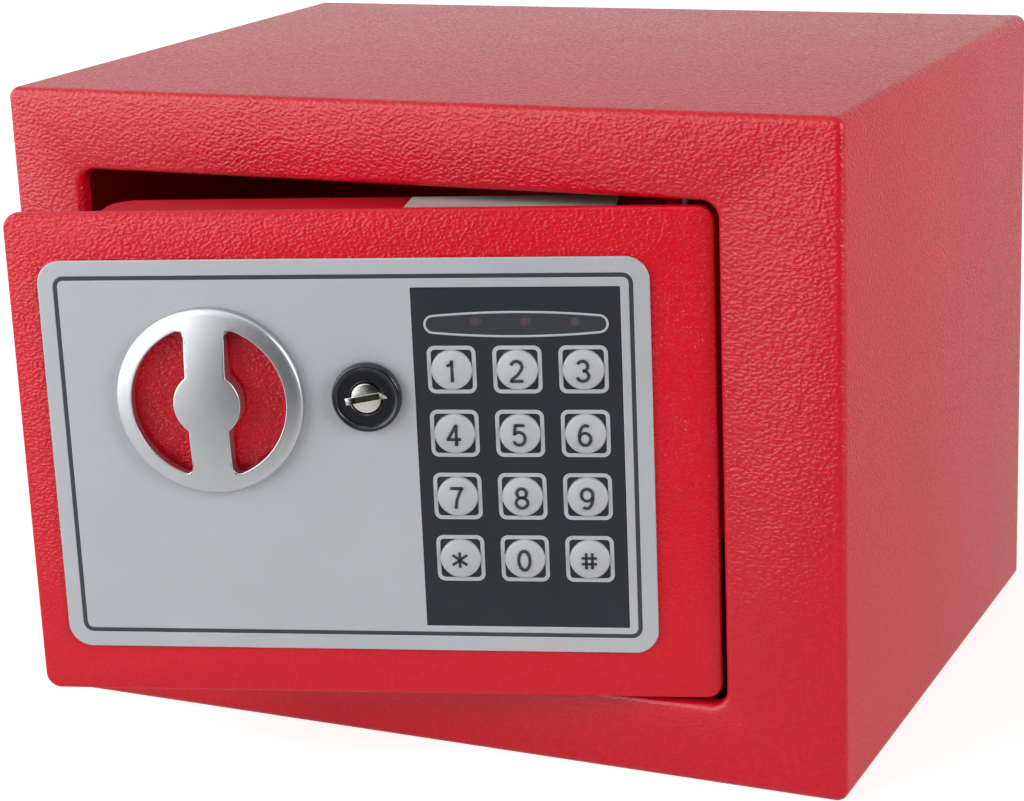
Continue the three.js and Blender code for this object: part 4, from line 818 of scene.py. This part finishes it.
def makePlug(shape, centre, low, high):
    barrelHigh = shutBox("lock_barrel")[1]
    radius, tail, tilt = shape["plug"], shape["tail"], shape["tilt"]
    long = (high.y - low.y) * 1000
    step = (high.y - barrelHigh.y) * 1000 - shape["plugGap"]
    profile = [(0, 0), (tail, 0), (tail, step), (radius, step)]
    profile += [(radius - inward, long - down) for inward, down in shape["plugEdge"]]
    plug = spun("lockPlug", profile + [(0, long)], shape["plugSides"], (centre[0], high.y, centre[2]))
    wingBack = centre[1] - (shape["face"] + shape["wingGap"]) / 1000
    wings = keyedBox("wings", (centre[0], wingBack - shape["wingThick"] / 2000, centre[2]),
                     (shape["wingLong"], shape["wingThick"], shape["wingWide"]), tilt)
    trim(plug, wings, "UNION")
    trim(plug, keyedBox("slit", (centre[0], low.y, centre[2]),
                        (shape["keyLong"], 2 * shape["keyDeep"], shape["keyWide"]), tilt))
    settle(plug)
    finishWith(plug, "BEVEL", width=shape["softEdge"] / 1000, segments=2, limit_method="ANGLE",
               angle_limit=radians(50), use_clamp_overlap=True)
    smoothed(plug, 25)
    dress(plug, finishes["lock_chrome"])
    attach(plug, "override_lock")
    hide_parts("lock_plug")


def makeShutter(shape, centre, front):  # closes the keyway a little way in
    play = shape["shutterPlay"]
    thick = shape["keyDeep"] - shape["shutterBack"]
    place = (centre[0], front + (shape["shutterBack"] + thick / 2) / 1000, centre[2])
    size = [side - play for side in (shape["keyLong"], thick, shape["keyWide"])]
    shutter = keyedBox("keywayShutter", place, size, shape["tilt"])
    settle(shutter)
    finishWith(shutter, "BEVEL", width=shape["shutterEdge"] / 1000, segments=3, limit_method="ANGLE",
               angle_limit=radians(50))
    smoothed(shutter, 40)
    dress(shutter, shadedShutterBrass)
    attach(shutter, "override_lock")


def makeLock(shape):
    centre = seatOf(*shutBox("lock_bezel"))
    makeBezel(shape, centre)
    low, high = shutBox("lock_plug")
    makePlug(shape, centre, low, high)
    makeShutter(shape, centre, low.y)


# brass far darker than brass: painted shade inside the keyway
shadedShutterBrass = plainFinish("shadedShutterBrass", (44, 36, 28), (70, 56, 40), (0.35, 0.5), metallic=0.6,
                           cloudSize=0.002)
makeLock(lockShape)
print("lock done")


# Plunger spring: a real coil in place of the CAD sleeve
springShape = {"turns": 5.5, "wire": 0.55, "sides": 10, "steps": 28}


def makeSpring(shape):
    low, high = shutBox("plunger_spring")
    wire = shape["wire"] / 2000
    radius = (high.x - low.x) / 2 - wire
    fresh()
    bpy.ops.mesh.primitive_circle_add(vertices=shape["sides"], radius=wire, fill_type="NGON",
                                      location=(0, 0, 0), rotation=(pi / 2, 0, 0))
    coil = bpy.context.object
    coil.name = coil.data.name = "plungerCoil"
    coil.location = (radius, 0, 0)
    settle(coil, onDoor=False)
    openMesh(coil)
    bpy.ops.mesh.delete(type="ONLY_FACE")
    finishWith(coil, "SCREW", axis="Z", angle=2 * pi * shape["turns"], screw_offset=high.z - low.z - 2 * wire,
               steps=int(shape["steps"] * shape["turns"]), use_smooth_shade=True)
    openMesh(coil)
    bpy.ops.mesh.remove_doubles(threshold=0.000001)
    bpy.ops.mesh.select_all(action="SELECT")
    bpy.ops.mesh.fill_holes(sides=0)
    closeMesh()
    coil.location = ((low.x + high.x) / 2, (low.y + high.y) / 2, low.z + wire)
    settle(coil)
    dress(coil, finishes["bright_steel"])
    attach(coil, "door")
    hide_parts("plunger_spring")
    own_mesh(coil)


makeSpring(springShape)


# Floor mat: a felt sheet that lies loose on the safe's floor
matShape = {
    "thick": 1.5, "corner": 4.0, "grid": 60, "edge": 0.3, "wave": 0.12, "waveLengths": (17, 23, 41, 29),
}


def makeMat(shape):
    low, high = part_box("floor_mat")
    fresh()
    bpy.ops.mesh.primitive_plane_add(size=1, location=((low.x + high.x) / 2, (low.y + high.y) / 2, low.z))
    mat = bpy.context.object
    mat.name = mat.data.name = "floorMat"
    mat.scale = (high.x - low.x, high.y - low.y, 1)
    settle(mat, onDoor=False)
    openMesh(mat)
    bpy.ops.mesh.bevel(offset=shape["corner"] / 1000, segments=6, affect="VERTICES")
    for i in range(1, shape["grid"]):
        for across in (0, 1):
            point = low.lerp(high, i / shape["grid"])
            bpy.ops.mesh.select_all(action="SELECT")
            bpy.ops.mesh.bisect(plane_co=(point.x, point.y, 0), plane_no=(1 - across, across, 0))
    bpy.ops.object.mode_set(mode="OBJECT")
    lift = shape["wave"] / 1000
    sideways, along, broad, slant = shape["waveLengths"]
    for vertex in mat.data.vertices:  # it doesn't lie quite flat
        x, y = vertex.co.x * 1000, vertex.co.y * 1000
        vertex.co.z += lift * (1 + 0.5 * sin(x / sideways + 1) * cos(y / along)
                               + 0.5 * sin(x / broad - y / slant))
    finishWith(mat, "SOLIDIFY", thickness=shape["thick"] / 1000 - 2 * lift, offset=1)
    finishWith(mat, "BEVEL", width=shape["edge"] / 1000, segments=2, limit_method="ANGLE",
               angle_limit=radians(60))
    smoothed(mat, 50)
    dress(mat, finishes["floor_foam"])
    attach(mat, "safe_body")
    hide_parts("floor_mat")


makeMat(matShape)
print("spring and mat done")


# Camera, floor and lights

lensView = {
    "place": (0.28871, -0.63221, 0.27060), "azimuth": 25.401, "elevation": 16.087, "roll": -2.41,
    "focal": 2534.5, "width": 1024, "sensor": 36, "farthest": 20,
}


def setCamera(view):
    side, rise, tilt = (radians(view[name]) for name in ("azimuth", "elevation", "roll"))
    back = Vector((sin(side) * cos(rise), -cos(side) * cos(rise), sin(rise)))
    right = (-back).cross(Vector((0, 0, 1))).normalized()
    up = right.cross(-back)
    right, up = cos(tilt) * right + sin(tilt) * up, -sin(tilt) * right + cos(tilt) * up
    lens = bpy.data.cameras.new("camera")
    lens.sensor_width = view["sensor"]
    lens.lens = view["sensor"] * view["focal"] / view["width"]
    lens.clip_end = view["farthest"]
    camera = bpy.data.objects.new("camera", lens)
    bpy.context.collection.objects.link(camera)
    camera.matrix_world = Matrix.Translation(view["place"]) @ Matrix((right, up, back)).transposed().to_4x4()
    bpy.context.scene.camera = camera


setCamera(lensView)

floorLook = {
    "size": 12, "roughness": 0.9, "grain": 0.002, "cloud": 0.6, "darker": 0.54, "lighter": 0.56,
    "inMetal": 0.52, "glowFrom": 0.4, "glowTo": 1.6, "glowNear": 0.73,
    "frontFrom": -0.16, "frontTo": -0.46, "rightFrom": -0.16, "rightTo": 0.08,
}


def makeFloor(look):
    fresh()
    bpy.ops.mesh.primitive_plane_add(size=look["size"], location=(0, 0, 0))
    floor = bpy.context.object
    floor.name = "studioFloor"
    material, tree, shader, spot = newMaterial("floorWhite")
    shader.inputs["Roughness"].default_value = look["roughness"]
    grain = useGroup(tree, fineGrain,
                     {"Vector": spot, "Grain Size": look["grain"], "Cloud Size": look["cloud"]})
    pale = mixedColour(tree, grain["Tone"], (look["darker"],) * 3 + (1,), (look["lighter"],) * 3 + (1,))
    link(tree, pale, shader, "Base Color")
    rays = addNode(tree, "ShaderNodeLightPath").outputs
    seen = maths(tree, "MAXIMUM", rays["Is Camera Ray"], rays["Is Transmission Ray"])
    part = maths(tree, "MULTIPLY", rays["Is Glossy Ray"], look["inMetal"])  # metal shows it, less its glare
    far = addNode(tree, "ShaderNodeVectorMath", {0: spot}, operation="LENGTH").outputs["Value"]
    fade = ranged(tree, far, look["glowFrom"], look["glowTo"], look["glowNear"], 1.0, "SMOOTHSTEP")
    glow = addNode(tree, "ShaderNodeEmission", {"Color": (1, 1, 1, 1), "Strength": fade}).outputs[0]
    dark = addNode(tree, "ShaderNodeEmission", {"Color": (0, 0, 0, 1), "Strength": 0.0}).outputs[0]
    shown = mixedShader(tree, maths(tree, "MAXIMUM", seen, part), dark, glow)
    lit = addNode(tree, "ShaderNodeAddShader", {0: shader.outputs[0], 1: shown}).outputs[0]
    axes = axesOf(tree, spot)  # metal sees it run out into a dark studio in front, on the right
    ahead = ranged(tree, axes["Y"], look["frontFrom"], look["frontTo"], ease="SMOOTHSTEP")
    beside = ranged(tree, axes["X"], look["rightFrom"], look["rightTo"], ease="SMOOTHSTEP")
    unlit = maths(tree, "MULTIPLY", maths(tree, "MULTIPLY", ahead, beside), rays["Is Glossy Ray"])
    output = next(n for n in tree.nodes if n.type == "OUTPUT_MATERIAL")
    link(tree, mixedShader(tree, unlit, lit, dark), output, "Surface")
    dress(floor, material)


makeFloor(floorLook)

studioLook = {
    "white": 1.0, "room": 0.2, "back": 0.9, "backFrom": -0.3, "backTo": 0.3,
    "leftShare": -1.2, "wallTo": 0.36, "wallLow": 0.03, "wallHigh": 1.3,
}


def makeStudio(look):  # white to the camera, with a bright wall up on the left for what shines
    world = bpy.data.worlds.new("studio")
    bpy.context.scene.world = world
    world.use_nodes = True
    tree = world.node_tree
    tree.nodes.clear()
    axes = axesOf(tree, addNode(tree, "ShaderNodeTexCoord").outputs["Generated"])
    behind = ranged(tree, axes["Y"], look["backFrom"], look["backTo"], ease="SMOOTHSTEP")
    leftUp = maths(tree, "MULTIPLY_ADD", axes["X"], look["leftShare"], axes["Z"])
    wall = ranged(tree, leftUp, 0.0, look["wallTo"], look["wallLow"], look["wallHigh"], "SMOOTHSTEP")
    mirror, room, white = (
        addNode(tree, "ShaderNodeBackground", {"Color": (1, 1, 1, 1), "Strength": strength}).outputs[0]
        for strength in (mixedValue(tree, behind, wall, look["back"]), look["room"], look["white"]))
    rays = addNode(tree, "ShaderNodeLightPath").outputs
    seen = maths(tree, "MAXIMUM", rays["Is Camera Ray"], rays["Is Transmission Ray"])
    unseen = mixedShader(tree, rays["Is Glossy Ray"], room, mirror)
    addNode(tree, "ShaderNodeOutputWorld", {"Surface": mixedShader(tree, seen, unseen, white)})


makeStudio(studioLook)

lampsAt = {  # azimuth 0 is in front and 90 on the right; lengths in metres, power in watts
    "keySoftbox": {"azimuth": -49, "elevation": 16, "away": 1.5, "size": (2.4, 1.5), "power": 33},
    "rightSoftbox": {"azimuth": 72, "elevation": 18, "away": 1.5, "size": (0.7, 0.7), "power": 12.5},
}
safeMiddle, lampAim = 0.085, 0.09  # heights


def softbox(name, shape):
    fresh()
    lamp = bpy.data.lights.new(name, "AREA")
    lamp.shape = "RECTANGLE"
    lamp.size, lamp.size_y = shape["size"]
    lamp.energy = shape["power"]
    box = bpy.data.objects.new(name, lamp)
    bpy.context.collection.objects.link(box)
    side, rise, away = radians(shape["azimuth"]), radians(shape["elevation"]), shape["away"]
    level = away * cos(rise)  # how far off on the floor
    box.location = (level * sin(side), -level * cos(side), safeMiddle + away * sin(rise))
    box.rotation_mode = "QUATERNION"
    box.rotation_quaternion = (Vector((0, 0, lampAim)) - Vector(box.location)).to_track_quat("-Z", "Y")


for name, shape in lampsAt.items():
    softbox(name, shape)
bpy.context.scene.view_settings.view_transform = "Standard"
print("camera and lights set")
